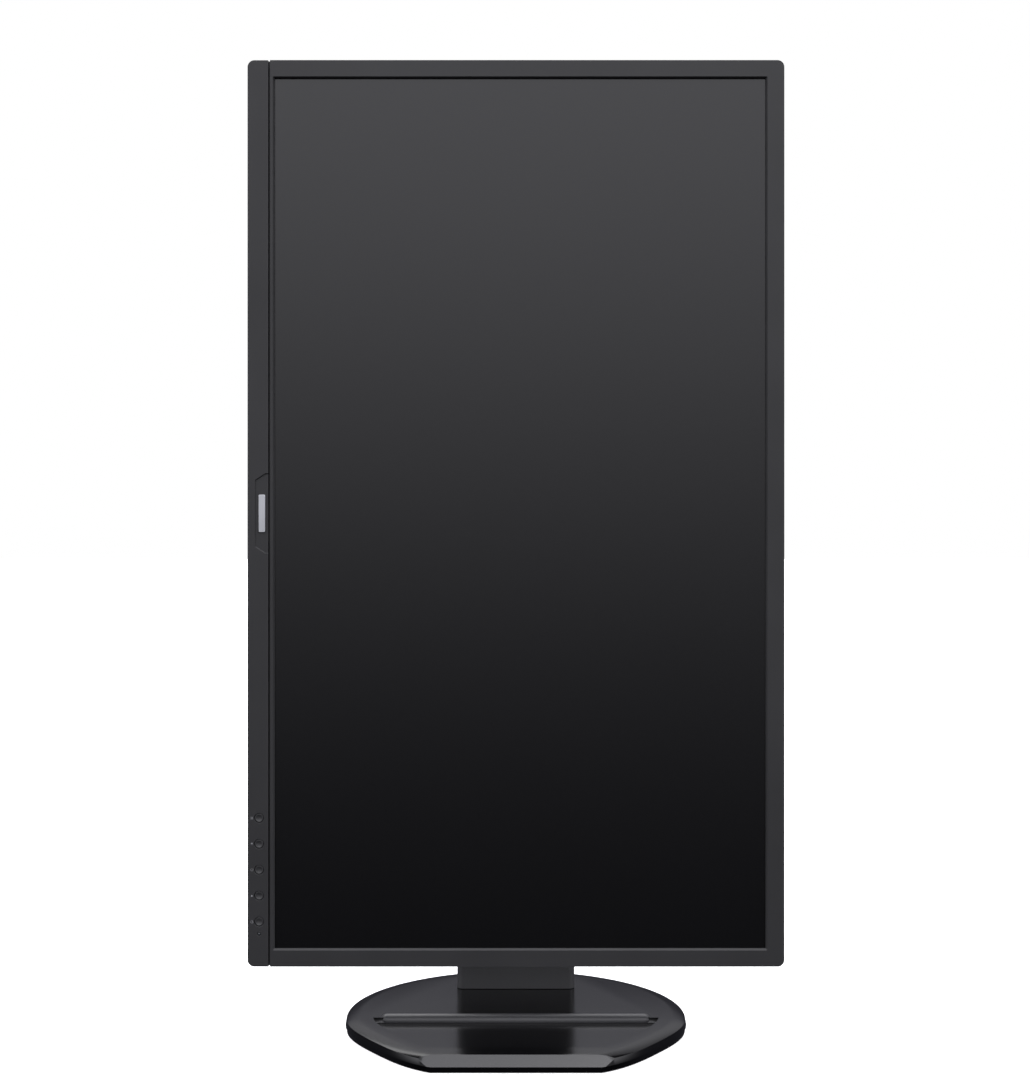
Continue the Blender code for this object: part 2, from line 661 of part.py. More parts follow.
def make_column(column):
    """The steel core, its guide rods and flat lift spring, and the plastic covers round them."""
    half_width = COLUMN_WIDTH / 2
    core_top = COLUMN_TOP - 3 * MM
    foot = (5.6 * MM, 7.4 * MM)
    core = block("column_core", column, (-38 * MM, 38 * MM), (33 * MM, 35 * MM), (foot[0], core_top), STEEL)
    pieces = [
        block(f"flange_{i}", column, x, (6 * MM, 34 * MM), (foot[0] + MM, core_top))
        for i, x in enumerate(both_sides(36 * MM, 38 * MM))
    ]
    pieces.append(block("foot_plate", column, (-42 * MM, 42 * MM), (3.5 * MM, 38 * MM), foot))
    pieces.append(block("top_bridge", column, (-37 * MM, 37 * MM), (7 * MM, 34 * MM), (core_top - 3 * MM, core_top)))
    join(core, *pieces)
    cut(core, *[rod(f"foot_hole_{i}", column, 2.6 * MM, 0, 20 * MM, place, "Z", steps=16) for i, place in enumerate(foot_screws())])
    rod_y = ROD_Y - COLUMN_TO_TILT
    for name, x in (("guide_rod_left", -ROD_X), ("guide_rod_right", ROD_X)):
        rod(name, column, 3.2 * MM, foot[1] + GAP, core_top - 3.3 * MM, (x, rod_y, 0), "Z", STEEL, steps=24)
    strip_front = rod_y + 11.8 * MM
    block(
        "lift_spring_strip",
        column,
        (-9 * MM, 9 * MM),
        (strip_front, strip_front + 0.5 * MM),
        (PIVOT_HEIGHT - ROLL_DROP, core_top - 8 * MM),
        STEEL,
    )
    z = (BASE_TOP + GAP, COLUMN_TOP)
    split = 14 * MM
    inside_x, inside_y = half_width - COLUMN_WALL, (COLUMN_WALL, COLUMN_DEPTH - COLUMN_WALL)
    hollow = block("column_hollow", column, (-inside_x, inside_x), inside_y, (-1, 1), radius=3.5 * MM, along=2)
    neck_space = 23 * MM
    slot = block(
        "lift_slot",
        column,
        (-22.5 * MM, 22.5 * MM),
        (-1, 10 * MM),
        (PIVOT_HEIGHT - LIFT_DOWN - neck_space, PIVOT_HEIGHT + LIFT_UP + neck_space),
        radius=4 * MM,
    )
    front = column_outline("column_front_cover", column, z, STAND_PLASTIC)
    cut(front, hollow, block("behind_front", column, (-1, 1), (split, 1), (-1, 1)), slot)
    rear = column_outline("column_rear_cover", column, z, STAND_PLASTIC)
    cut(rear, hollow, block("before_rear", column, (-1, 1), (-1, split + GAP), (-1, 1)))
    column_outline("column_top_cap", column, (COLUMN_TOP + GAP, COLUMN_TOP + 4.3 * MM), STAND_PLASTIC)


def column_outline(name, column, z, material):
    half_width = COLUMN_WIDTH / 2
    return block(name, column, (-half_width, half_width), (0, COLUMN_DEPTH), z, material, radius=5 * MM, along=2)


def foot_screws():
    """Places of the screws through the base plate into the column's foot, in the column's frame."""
    return [(x, 24 * MM, 0) for x in (-33.5 * MM, 33.5 * MM)]


def make_cable_clip(column):
    """An open loop on the back of the column that gathers the cables."""
    back = COLUMN_DEPTH + GAP
    z = (125 * MM, 147 * MM)
    clip = block("cable_clip", column, (-24 * MM, 24 * MM), (back, back + 14 * MM), z, STAND_PLASTIC, radius=4 * MM, along=2)
    inside = block("clip_inside", column, (-20 * MM, 20 * MM), (back + 3 * MM, back + 11 * MM), (-1, 1), radius=2 * MM, along=2)
    mouth = block("clip_mouth", column, (-3.5 * MM, 3.5 * MM), (back + 8 * MM, 1), (-1, 1))
    cut(clip, inside, mouth)


# ---------------------------------------------------------------- base

SIDE_START = math.radians(-8)  # where the flatter sides leave the round back
SIDE_END = math.radians(-62.8)  # where they meet the flat front
SIDE_STEPS = 16
BACK_STEPS = 40


def arc_point(radius, angle):
    return Vector((radius * math.cos(angle), radius * math.sin(angle)))


def mix(start, end, share):
    return start + (end - start) * share


def side_radius(angle):
    """How far the base's outline is from its centre: round behind, and a little flatter along the sides."""
    share = min(max((angle - SIDE_START) / (SIDE_END - SIDE_START), 0), 1)
    return BASE_RADIUS + 2 * MM * share - 4.2 * MM * math.sin(math.pi * share) ** 2


def angle_at(y, inset):
    """The angle at which the right side, moved in by inset, comes forward to y."""
    angle = SIDE_START
    for _ in range(30):
        angle = math.asin(y / (side_radius(angle) - inset))
    return angle


def side_points(inset, start, end):
    angles = [mix(start, end, i / SIDE_STEPS) for i in range(SIDE_STEPS + 1)]
    return [arc_point(side_radius(angle) - inset, angle) for angle in angles]


def base_section(z, inset, front_inset=None):
    """The base's outline in order round it, moved in by inset, and its flat front by front_inset."""
    front_y = -BASE_FLAT + (inset if front_inset is None else front_inset)
    right = side_points(inset, SIDE_START, angle_at(front_y, inset))
    left = [Vector((-point.x, point.y)) for point in reversed(right)]
    sweep = math.pi - 2 * SIDE_START
    angles = [math.pi - SIDE_START - sweep * i / BACK_STEPS for i in range(1, BACK_STEPS)]
    back = [arc_point(BASE_RADIUS - inset, angle) for angle in angles]
    return [(*point, z) for point in right + left + back]


def tray_section(z, grow=0.0):
    """The tray's outline: a straight front and back, and sides that follow the rim."""
    inset = 19.5 * MM - grow
    start, end = angle_at(-16 * MM + grow, inset), angle_at(-86 * MM - grow, inset)
    right = side_points(inset, start, end)
    left = [Vector((-point.x, point.y)) for point in reversed(right)]
    return [(*point, z) for point in right + left]


def make_base_cover(base):
    """The base's top shell: a rim that slopes outwards, a sunk tray in front and a round bead behind it."""
    cover = loft(
        "base_cover",
        base,
        [
            base_section(BASE_UNDER, 0.9 * MM),
            base_section(BASE_SKIRT, 0.9 * MM),
            base_section(BASE_SKIRT + 0.3 * MM, 0),
            base_section(BASE_RIM, 0.7 * MM),
            base_section(BASE_RIM + 0.6 * MM, 1.6 * MM),
            base_section(BASE_TOP - 0.5 * MM, 6 * MM),
            base_section(BASE_TOP, 9.5 * MM),
        ],
        STAND_PLASTIC,
    )
    tray_wall = 1.6 * MM
    hollow = loft(
        "base_hollow",
        base,
        [
            base_section(-5 * MM, 3 * MM, 4.2 * MM),
            base_section(5 * MM, 3 * MM, 4.2 * MM),
            base_section(6.6 * MM, 3.6 * MM, 7 * MM),
            base_section(BASE_TOP - 2 * MM, 8.5 * MM, 10.5 * MM),
        ],
    )
    tray_solid = loft("tray_solid", base, [tray_section(z, tray_wall) for z in (TRAY_FLOOR - tray_wall, 1)])
    cut(hollow, tray_solid)
    tray = loft("tray", base, [tray_section(z) for z in (TRAY_FLOOR, 1)])
    column_hole = block("column_hole", base, (-39.5 * MM, 39.5 * MM), (64 * MM, 98.5 * MM), (-1, 1))
    chamfer = [(-87.1 * MM, 23.3 * MM), (-114.2 * MM, 0.8 * MM), (-0.2, 0.8 * MM), (-0.2, 23.3 * MM)]
    before_front = loft("before_front", base, [[(x, y, z) for y, z in chamfer] for x in (-0.3, 0.3)])
    cut(cover, hollow, tray, column_hole, before_front)
    radius, half_length = 4.6 * MM, 92.4 * MM
    rounding = [math.radians(15 * i) for i in range(7)]
    profile = [(radius * math.sin(angle), half_length + radius * math.cos(angle)) for angle in rounding]
    profile += [(across, -along) for across, along in reversed(profile)]
    bead = turned("bead", base, profile, (0, BEAD_Y, TRAY_FLOOR + 0.6 * MM), "X", steps=32)
    under = block("under_bead", base, (-1, 1), (-1, 1), (-1, TRAY_FLOOR - MM))
    cut(bead, under, block("over_pin", base, (-1, 1), (-10.2 * MM, 1), (-1, TRAY_FLOOR + 0.4 * MM)))
    join(cover, bead)


def make_base_plate(base, column):
    """The steel plate that gives the base its weight, screwed up into the column's foot."""
    sections = [base_section(z, 5.4 * MM, 8.5 * MM) for z in (3.3 * MM, 5.3 * MM)]
    plate = loft("base_plate", base, sections, STEEL)
    cut(plate, rod("pin_clearance", base, 5.4 * MM, 0, 20 * MM, (0, 0, 0), "Z"))
    for i, place in enumerate(foot_screws()):
        cut(plate, rod(f"plate_screw_hole_{i}", column, 2.6 * MM, 0, 20 * MM, place, "Z", steps=16))
        profile = [(0, 7.6 * MM), (2.2 * MM, 7.6 * MM), (2.2 * MM, 3 * MM), (4.2 * MM, 3 * MM)]
        profile += [(4.2 * MM, 1.7 * MM), (0, 1.7 * MM)]
        turned(f"foot_screw_{i + 1}", column, profile, place, "Z", STEEL, steps=12)


def make_turntable():
    """The disc that stays still on the desk while the base turns round its pin."""
    centre = new_frame("turntable_centre", (0, BASE_CENTRE_Y, 0))
    place = (0, 0, 0)
    ring("turntable_pad", centre, 78 * MM, 66 * MM, 0, 0.9 * MM, place, "Z", RUBBER, steps=40)
    ring("turntable_disc", centre, TURNTABLE_RADIUS, 5.4 * MM, 1.2 * MM, 2.2 * MM, place, "Z", STEEL, steps=40)
    ring("turntable_bearing", centre, 74 * MM, 62 * MM, 2.5 * MM, 3 * MM, place, "Z", NYLON, steps=40)
    profile = [(0, 7.2 * MM), (9 * MM, 7.2 * MM), (9 * MM, 5.6 * MM), (5 * MM, 5.6 * MM), (5 * MM, 1.5 * MM), (0, 1.5 * MM)]
    turned("swivel_pin", centre, profile, place, "Z", STEEL, steps=32)


def smooth_round_pieces():
    """Round surfaces are shaded smooth and the sharp edges between faces kept."""
    for piece in PARTS.objects:
        if piece.type == "MESH":
            piece.data.shade_smooth()
            piece.data.set_sharp_from_angle(angle=math.radians(30))


def build():
    swivel = new_frame("swivel_axis", (0, BASE_CENTRE_Y, 0))
    column = new_frame("column_front", (0, COLUMN_Y - BASE_CENTRE_Y, 0), swivel)
    lift = new_frame("lift_slide", (0, TILT_Y - COLUMN_Y, PIVOT_HEIGHT), column)
    tilt = new_frame("tilt_axis", (0, 0, 0), lift)
    head = new_frame("pivot_axis", (0, -TILT_TO_SCREEN, 0), tilt, turn_about_y=math.radians(90))
    make_turntable()
    make_base_cover(swivel)
    make_base_plate(swivel, column)
    make_column(column)
    make_cable_clip(column)
    make_carriage(lift)
    make_lift_arm(lift)
    make_tilt_spring(lift)
    make_hinge_cover(lift)
    make_pivot_bracket(tilt)
    make_front_bezel(head)
    make_trim_strip(head)
    make_buttons(head)
    make_key_board(head)
    make_display_panel(head)
    make_chassis_bracket(head)
    make_boards(head)
    make_speakers(head)
    make_ports(head)
    make_rear_cover(head)
    make_vesa_fixing(head)
    smooth_round_pieces()


build()
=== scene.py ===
"""Looks of the upright computer monitor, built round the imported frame. Metres, in the frame's own axes."""

import math

import bmesh
import bpy
from mathutils import Matrix, Vector


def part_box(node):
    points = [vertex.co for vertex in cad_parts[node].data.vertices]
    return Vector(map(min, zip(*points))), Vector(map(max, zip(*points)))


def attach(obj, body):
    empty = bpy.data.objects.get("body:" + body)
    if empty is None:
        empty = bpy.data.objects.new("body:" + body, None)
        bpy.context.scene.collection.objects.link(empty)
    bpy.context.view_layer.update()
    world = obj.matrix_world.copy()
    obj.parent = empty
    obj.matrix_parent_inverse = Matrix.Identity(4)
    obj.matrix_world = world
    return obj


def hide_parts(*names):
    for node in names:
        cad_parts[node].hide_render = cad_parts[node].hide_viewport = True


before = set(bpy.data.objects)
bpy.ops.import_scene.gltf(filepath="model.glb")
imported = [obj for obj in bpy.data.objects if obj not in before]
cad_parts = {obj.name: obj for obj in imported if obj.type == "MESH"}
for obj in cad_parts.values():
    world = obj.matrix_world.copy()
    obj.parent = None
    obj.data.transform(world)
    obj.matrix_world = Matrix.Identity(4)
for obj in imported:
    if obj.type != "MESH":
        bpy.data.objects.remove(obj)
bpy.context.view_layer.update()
MM = 0.001
FAR = 1.0  # for cutters that go right through

# ------------------------------------------------------------------ places

BEZEL_LOW, BEZEL_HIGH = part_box("front_bezel")
SCREEN_Y = BEZEL_LOW.y
HEAD_MIDDLE = (BEZEL_LOW.z + BEZEL_HIGH.z) / 2
HALF_LONG = (BEZEL_HIGH.z - BEZEL_LOW.z) / 2
HALF_SHORT = (BEZEL_HIGH.x - BEZEL_LOW.x) / 2
# The head is drawn lying level: x along its long side, y into its depth, z across. This stands it upright.
HEAD = Matrix(((0, 0, 1, 0), (0, 1, 0, SCREEN_Y), (-1, 0, 0, HEAD_MIDDLE), (0, 0, 0, 1)))
# The hinge's cover is drawn round the tilt axis, the column from its front, the base round its middle.
HINGE_Y = 15 * MM
LIFT = Matrix.Translation((0, HINGE_Y, HEAD_MIDDLE))
COLUMN_LOW, COLUMN_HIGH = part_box("column_front_cover")
COLUMN = Matrix.Translation((0, COLUMN_LOW.y, 0))
BASE_CENTRE_Y = -7.2 * MM
BASE = Matrix.Translation((0, BASE_CENTRE_Y, 0))

# ------------------------------------------------------------------ materials

BLOTCH_SCALE = 14.0
GRAIN_DEPTH = 0.2 * MM


class Nodes:
    """A short way to write a node tree."""

    def __init__(self, tree):
        self.tree = tree

    def add(self, kind, inputs=None, **settings):
        node = self.tree.nodes.new(kind)
        for key, value in settings.items():
            setattr(node, key, value)
        for key, value in (inputs or {}).items():
            self.fill(node.inputs[key], value)
        return node

    def fill(self, socket, value):
        if isinstance(value, bpy.types.NodeSocket):
            self.tree.links.new(value, socket)
        else:
            socket.default_value = value

    def spread(self, value, low, high, out_low=0.0, out_high=1.0):
        inputs = {"Value": value, "From Min": low, "From Max": high, "To Min": out_low, "To Max": out_high}
        return self.add("ShaderNodeMapRange", inputs).outputs["Result"]

    def blend(self, share, first, second):
        inputs = {0: share, 6: first, 7: second}
        return self.add("ShaderNodeMix", inputs, data_type="RGBA").outputs[2]


def shade(colour, factor):
    return (*(min(1.0, part * factor) for part in colour), 1)


def surface(
    name, colour, roughness, metallic=0.0, grain=1800.0,
    relief=0.06, stretch=(1, 1, 1), blotch=0.12, specular=0.5,
):
    """Moulded or worked surface: a slow blotch in its colour, and a fine grain in its gloss and relief."""
    material = bpy.data.materials.new(name)
    material.use_nodes = True
    shader = material.node_tree.nodes["Principled BSDF"]
    nodes = Nodes(material.node_tree)
    place = nodes.add("ShaderNodeTexCoord").outputs["Object"]
    mapped = nodes.add("ShaderNodeMapping", {"Vector": place, "Scale": stretch}).outputs["Vector"]
    slow = {"Vector": place, "Scale": BLOTCH_SCALE, "Detail": 4.0}
    slow = nodes.add("ShaderNodeTexNoise", slow).outputs["Fac"]
    fine = nodes.add("ShaderNodeTexNoise", {"Vector": mapped, "Scale": grain, "Detail": 2.0}).outputs["Fac"]
    share = nodes.spread(slow, 0.3, 0.7)
    mixed = nodes.blend(share, shade(colour, 1 - blotch), shade(colour, 1 + blotch))
    gloss = nodes.spread(fine, 0.25, 0.75, roughness * 0.9, min(1.0, roughness * 1.12))
    bump = nodes.add("ShaderNodeBump", {"Height": fine, "Strength": relief, "Distance": GRAIN_DEPTH})
    nodes.fill(shader.inputs["Base Color"], mixed)
    nodes.fill(shader.inputs["Roughness"], gloss)
    nodes.fill(shader.inputs["Normal"], bump.outputs["Normal"])
    nodes.fill(shader.inputs["Metallic"], metallic)
    nodes.fill(shader.inputs["Specular IOR Level"], specular)
    return material


def screen_surface():
    """Anti-glare glass over an unlit panel: near black, with a blacker margin outside the picture area."""
    glass, black = (0.0009, 0.0009, 0.0012), (0.0008, 0.0008, 0.0009, 1)
    margin_x, margin_z, fade = 1.6 * MM, 2.6 * MM, 0.2 * MM
    material = surface("screen_antiglare", glass, 0.25, grain=3500.0, relief=0.05, blotch=0.1)
    nodes = Nodes(material.node_tree)
    shader = material.node_tree.nodes["Principled BSDF"]
    low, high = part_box("lcd_cell")
    middle, half = (low + high) / 2, (high - low) / 2
    place = nodes.add("ShaderNodeTexCoord").outputs["Object"]
    axes = nodes.add("ShaderNodeSeparateXYZ", {"Vector": place}).outputs
    edges = []
    for axis, centre, reach in ((0, middle.x, half.x - margin_x), (2, middle.z, half.z - margin_z)):
        offset = nodes.add("ShaderNodeMath", {0: axes[axis], 1: centre}, operation="SUBTRACT").outputs[0]
        away = nodes.add("ShaderNodeMath", {0: offset}, operation="ABSOLUTE").outputs[0]
        edges.append(nodes.spread(away, reach, reach + fade))
    outside = nodes.add("ShaderNodeMath", {0: edges[0], 1: edges[1]}, operation="MAXIMUM").outputs[0]
    plain = shader.inputs["Base Color"].links[0].from_socket
    nodes.fill(shader.inputs["Base Color"], nodes.blend(outside, plain, black))
    return material


def board_surface():
    """Green circuit board with lighter copper tracks under the mask."""
    material = surface("circuit_board", (0.012, 0.09, 0.03), 0.38, relief=0.02)
    nodes = Nodes(material.node_tree)
    shader = material.node_tree.nodes["Principled BSDF"]
    place = nodes.add("ShaderNodeTexCoord").outputs["Object"]
    cells = nodes.add("ShaderNodeTexVoronoi", {"Vector": place, "Scale": 160.0}, distance="MANHATTAN")
    tracks = nodes.spread(cells.outputs["Distance"], 0.28, 0.34)
    plain = shader.inputs["Base Color"].links[0].from_socket
    nodes.fill(shader.inputs["Base Color"], nodes.blend(tracks, (0.03, 0.2, 0.07, 1), plain))
    return material


BEZEL = surface("bezel_satin", (0.0195, 0.0195, 0.0205), 0.5, grain=2400.0, relief=0.1, specular=0.3)
REAR = surface("rear_textured", (0.021, 0.021, 0.022), 0.55, grain=1300.0, relief=0.3)
STAND = surface("stand_gloss", (0.0014, 0.0014, 0.0017), 0.17, grain=3000.0, relief=0.02)
# The bar is moulded in the base's own plastic. This copy's colour is made about twenty times lighter than the
# base's, as a painted highlight along the bar; its higher roughness is real satin.
BEAD_PAINTED_HIGHLIGHT = surface("bead_satin_painted_highlight", (0.03, 0.03, 0.032), 0.4, grain=3000.0, relief=0.03)
COLUMN_PLASTIC = surface("column_satin", (0.05, 0.05, 0.052), 0.4, grain=2400.0, relief=0.08)
BUTTON = surface("button_satin", (0.021, 0.021, 0.022), 0.4, grain=3000.0, relief=0.05)
SCREEN = screen_surface()
PRINT = surface("printed_icon", (0.2, 0.2, 0.21), 0.55, relief=0.02)
BADGE = surface("badge_brushed", (0.55, 0.56, 0.58), 0.3, 1.0, grain=900.0, relief=0.05, stretch=(1, 1, 0.05))
LENS = surface("led_lens", (0.03, 0.032, 0.036), 0.16, relief=0.01)
STEEL = surface("zinc_steel", (0.45, 0.46, 0.47), 0.34, 1.0, grain=700.0, relief=0.05, stretch=(1, 1, 0.08))
BLACK_STEEL = surface("black_steel", (0.028, 0.028, 0.03), 0.42, 0.6, grain=1500.0, relief=0.12)
BOARD = board_surface()
PORT_METAL = surface("port_nickel", (0.6, 0.59, 0.56), 0.25, 1.0, grain=1500.0, relief=0.03)
PORT_PLASTIC = surface("port_plastic", (0.012, 0.012, 0.013), 0.5, relief=0.1)
FILM = surface("film", (0.8, 0.81, 0.8), 0.35, relief=0.02, blotch=0.04)
RUBBER = surface("rubber", (0.012, 0.012, 0.012), 0.8, grain=900.0, relief=0.4)
NYLON = surface("nylon", (0.62, 0.6, 0.55), 0.45, relief=0.1, blotch=0.05)

# ------------------------------------------------------------------ shapes

SHARP = 0.01 * MM  # the least radius of a box's edges


def rounded_rectangle(width, height, radius, segments=8):
    """Points in order round a rectangle with round corners, as (x, z)."""
    points = []
    for quarter, (side_x, side_z) in enumerate(((1, 1), (-1, 1), (-1, -1), (1, -1))):
        centre_x, centre_z = side_x * (width / 2 - radius), side_z * (height / 2 - radius)
        for step in range(segments + 1):
            angle = math.radians(90) * (quarter + step / segments)
            points.append((centre_x + radius * math.cos(angle), centre_z + radius * math.sin(angle)))
    return points


def loft(sections):
    """A closed surface through sections of equally many points."""
    bm = bmesh.new()
    rows = [[bm.verts.new(point) for point in section] for section in sections]
    count = len(rows[0])
    for lower, upper in zip(rows, rows[1:]):
        for i in range(count):
            j = (i + 1) % count
            bm.faces.new((lower[i], lower[j], upper[j], upper[i]))
    bm.faces.new(rows[0])
    bm.faces.new(rows[-1])
    bmesh.ops.recalc_face_normals(bm, faces=bm.faces)
    return bm


def slab(x, y, z, radius=0.0, axis=1, segments=6):
    """A box between limits, its edges along one axis rounded."""
    limits = (x, y, z)
    across, up = [i for i in range(3) if i != axis]
    width, height = (limits[i][1] - limits[i][0] for i in (across, up))
    middle = [sum(limit) / 2 for limit in limits]
    outline = rounded_rectangle(width, height, max(radius, SHARP), segments if radius else 1)
    sections = []
    for depth in limits[axis]:
        section = []
        for a, b in outline:
            point = [0.0, 0.0, 0.0]
            point[across], point[up], point[axis] = middle[across] + a, middle[up] + b, depth
            section.append(point)
        sections.append(section)
    return loft(sections)


def lathe(profile, axis="Y", steps=48, centre=(0, 0, 0)):
    """A turned solid. profile holds (radius, distance along the axis); radius 0 at its ends closes it."""
    bm = bmesh.new()
    rings = []
    for radius, along in profile:
        ring = []
        for step in range(steps if radius else 1):
            angle = 2 * math.pi * step / steps
            a, b = radius * math.cos(angle), radius * math.sin(angle)
            point = {"X": (along, a, b), "Y": (a, along, b)}[axis]
            ring.append(bm.verts.new(Vector(point) + Vector(centre)))
        rings.append(ring)
    for first, second in zip(rings, rings[1:]):
        for step in range(steps):
            after = (step + 1) % steps
            corners = [first[step % len(first)], first[after % len(first)]]
            corners += [second[after % len(second)], second[step % len(second)]]
            corners = list(dict.fromkeys(corners))
            if len(corners) > 2:
                bm.faces.new(corners)
    bmesh.ops.recalc_face_normals(bm, faces=bm.faces)
    return bm


def merged(shapes):
    """One mesh that holds several that don't touch."""
    whole = bmesh.new()
    for shape in shapes:
        mesh = bpy.data.meshes.new("part")
        shape.to_mesh(mesh)
        shape.free()
        whole.from_mesh(mesh)
        bpy.data.meshes.remove(mesh)
    return whole


def drill(radius, x, z, y=(-5 * MM, 8 * MM), steps=40):
    return lathe([(0, y[0]), (radius, y[0]), (radius, y[1]), (0, y[1])], "Y", steps, (x, 0, z))


def slot_cutter(x, z, width, height, y):
    """A slot with round ends."""
    radius = min(width, height) * 0.499
    return slab((x - width / 2, x + width / 2), y, (z - height / 2, z + height / 2), radius)


def object_from(name, bm, place):
    mesh = bpy.data.meshes.new(name)
    bm.transform(place)
    bm.to_mesh(mesh)
    bm.free()
    made = bpy.data.objects.new(name, mesh)
    bpy.context.scene.collection.objects.link(made)
    return made


def carve(target, place, *cutters):
    """Take meshes out of an object one by one. They are drawn in the place that it was drawn in."""
    for cutter in cutters:
        tool = object_from("tool", cutter, place)
        modifier = target.modifiers.new("carve", "BOOLEAN")
        modifier.operation = "DIFFERENCE"
        modifier.solver = "EXACT"
        modifier.use_self = False
        modifier.object = tool
        graph = bpy.context.evaluated_depsgraph_get()
        shaped = bpy.data.meshes.new_from_object(target.evaluated_get(graph))
        target.modifiers.clear()
        old = target.data
        target.data = shaped
        bpy.data.meshes.remove(old)
        bpy.data.objects.remove(tool)


def carved(shape, place, *cutters):
    """A shape with cutters taken out of it, still in the place that it was drawn in."""
    scratch = object_from("scratch", shape, place)
    carve(scratch, place, *cutters)
    bm = bmesh.new()
    bm.from_mesh(scratch.data)
    bm.transform(place.inverted())
    bpy.data.objects.remove(scratch)
    return bm


def coat(piece, material, angle):
    """Give a piece its material, smooth but for edges sharper than an angle."""
    piece.data.materials.clear()
    piece.data.materials.append(material)
    piece.data.shade_smooth()
    piece.data.set_sharp_from_angle(angle=math.radians(angle))


def round_edges(piece, width, segments, angle):
    rounding = piece.modifiers.new("rounded edges", "BEVEL")
    rounding.width = width
    rounding.segments = segments
    rounding.limit_method = "ANGLE"
    rounding.angle_limit = math.radians(angle)
    return rounding


def finish_piece(made, material, body, replaced=(), bevel=0.0, segments=2, angle=35):
    """Give a piece its material, round its edges and tie it to its body."""
    coat(made, material, angle)
    if bevel:
        rounding = round_edges(made, bevel, segments, angle)
        rounding.miter_outer = "MITER_ARC"
        rounding.harden_normals = True
    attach(made, body)
    if replaced:
        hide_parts(*replaced)


# ------------------------------------------------------------------ screen head

CORNER = 4.7 * MM
BEZEL_WALL = 2 * MM
BEZEL_FACE = 2.3 * MM
BEZEL_DEPTH = 16 * MM
WINDOW_HALF = 299.7 * MM
WINDOW_Z = (-166.25 * MM, 172.05 * MM)
LIP_SLOPE, LIP_DEPTH = 1.1 * MM, 1.5 * MM
TRIM_TOP = 14.3 * MM - HALF_SHORT
TRIM_THICK = 3 * MM
TRIM_SEAT = 3.3 * MM
BUTTON_Z = 7.9 * MM - HALF_SHORT
FIRST_BUTTON_X, BUTTON_PITCH = 209.7 * MM, 17.85 * MM
BUTTON_X = [FIRST_BUTTON_X + BUTTON_PITCH * i for i in range(5)]
BUTTON_HOLE = 3.25 * MM
LED_X = 289.5 * MM
LED_HOLE = 1.2 * MM
PRINT_Y = (-0.02 * MM, 0.03 * MM)


def head_slab(y):
    return slab((-HALF_LONG, HALF_LONG), y, (-HALF_SHORT, HALF_SHORT), CORNER, segments=10)


def window_cutter():
    """The opening, with a sloped lip round its front edge."""
    middle_z = sum(WINDOW_Z) / 2
    height = WINDOW_Z[1] - WINDOW_Z[0]
    sections = []
    for y, grow in ((-5 * MM, LIP_SLOPE), (0, LIP_SLOPE), (LIP_DEPTH, 0), (6 * MM, 0)):
        radius = 0.4 * MM + grow * 0.3
        outline = rounded_rectangle(2 * (WINDOW_HALF + grow), height + 2 * grow, radius, 3)
        sections.append([(x, y, z + middle_z) for x, z in outline])
    return loft(sections)


def make_bezel():
    """The front frame: hollow behind its face, and stepped back below for the trim strip."""
    across = (BEZEL_WALL - HALF_LONG, HALF_LONG - BEZEL_WALL)
    inner_z = HALF_SHORT - BEZEL_WALL
    step_top = TRIM_TOP + 1.2 * MM
    past = 20 * MM
    bezel = object_from("bezel_frame", head_slab((0, BEZEL_DEPTH)), HEAD)
    carve(
        bezel,
        HEAD,
        slab(across, (BEZEL_FACE, past), (step_top + 1.3 * MM, inner_z), 3 * MM),
        slab(across, (TRIM_SEAT + BEZEL_FACE, past), (-inner_z, step_top + 2.2 * MM), 3 * MM),
        slab((-FAR, FAR), (-FAR, TRIM_SEAT), (-FAR, step_top)),
        window_cutter(),
        slab((BUTTON_X[0] - 7 * MM, LED_X + 5 * MM), (0, 10 * MM), (BUTTON_Z - 5 * MM, BUTTON_Z + 5 * MM)),
    )
    finish_piece(bezel, BEZEL, "head", ["front_bezel"], bevel=0.45 * MM, segments=3)


def badge_recess():
    half, slant, low, deep = 27.4 * MM, 4.5 * MM, TRIM_TOP - 9 * MM, 0.8 * MM
    outline = [(-half, TRIM_TOP + 2 * MM), (half, TRIM_TOP + 2 * MM), (half, TRIM_TOP - 2 * MM)]
    outline += [(half - slant, low), (slant - half, low), (-half, TRIM_TOP - 2 * MM)]
    return loft([[(x, y, z) for x, z in outline] for y in (-5 * MM, deep)])


def make_trim():
    """The strip under the picture, with its button and light holes and a blank plate in a recess."""
    holes = [drill(BUTTON_HOLE, x, BUTTON_Z) for x in BUTTON_X]
    holes.append(drill(LED_HOLE, LED_X, BUTTON_Z, steps=24))
    trim = object_from("trim", head_slab((0, TRIM_THICK)), HEAD)
    carve(trim, HEAD, slab((-FAR, FAR), (-FAR, FAR), (TRIM_TOP, FAR)), badge_recess(), merged(holes))
    finish_piece(trim, BEZEL, "head", ["trim_strip"], bevel=0.3 * MM)
    half_x, half_z, z = 12.9 * MM, 2.25 * MM, TRIM_TOP - 4.4 * MM
    badge = slab((-half_x, half_x), (0.06 * MM, 0.5 * MM), (z - half_z, z + half_z), 0.8 * MM)
    badge = object_from("nameplate", badge, HEAD)
    finish_piece(badge, BADGE, "head", ["badge_plate"], bevel=0.14 * MM, segments=3)


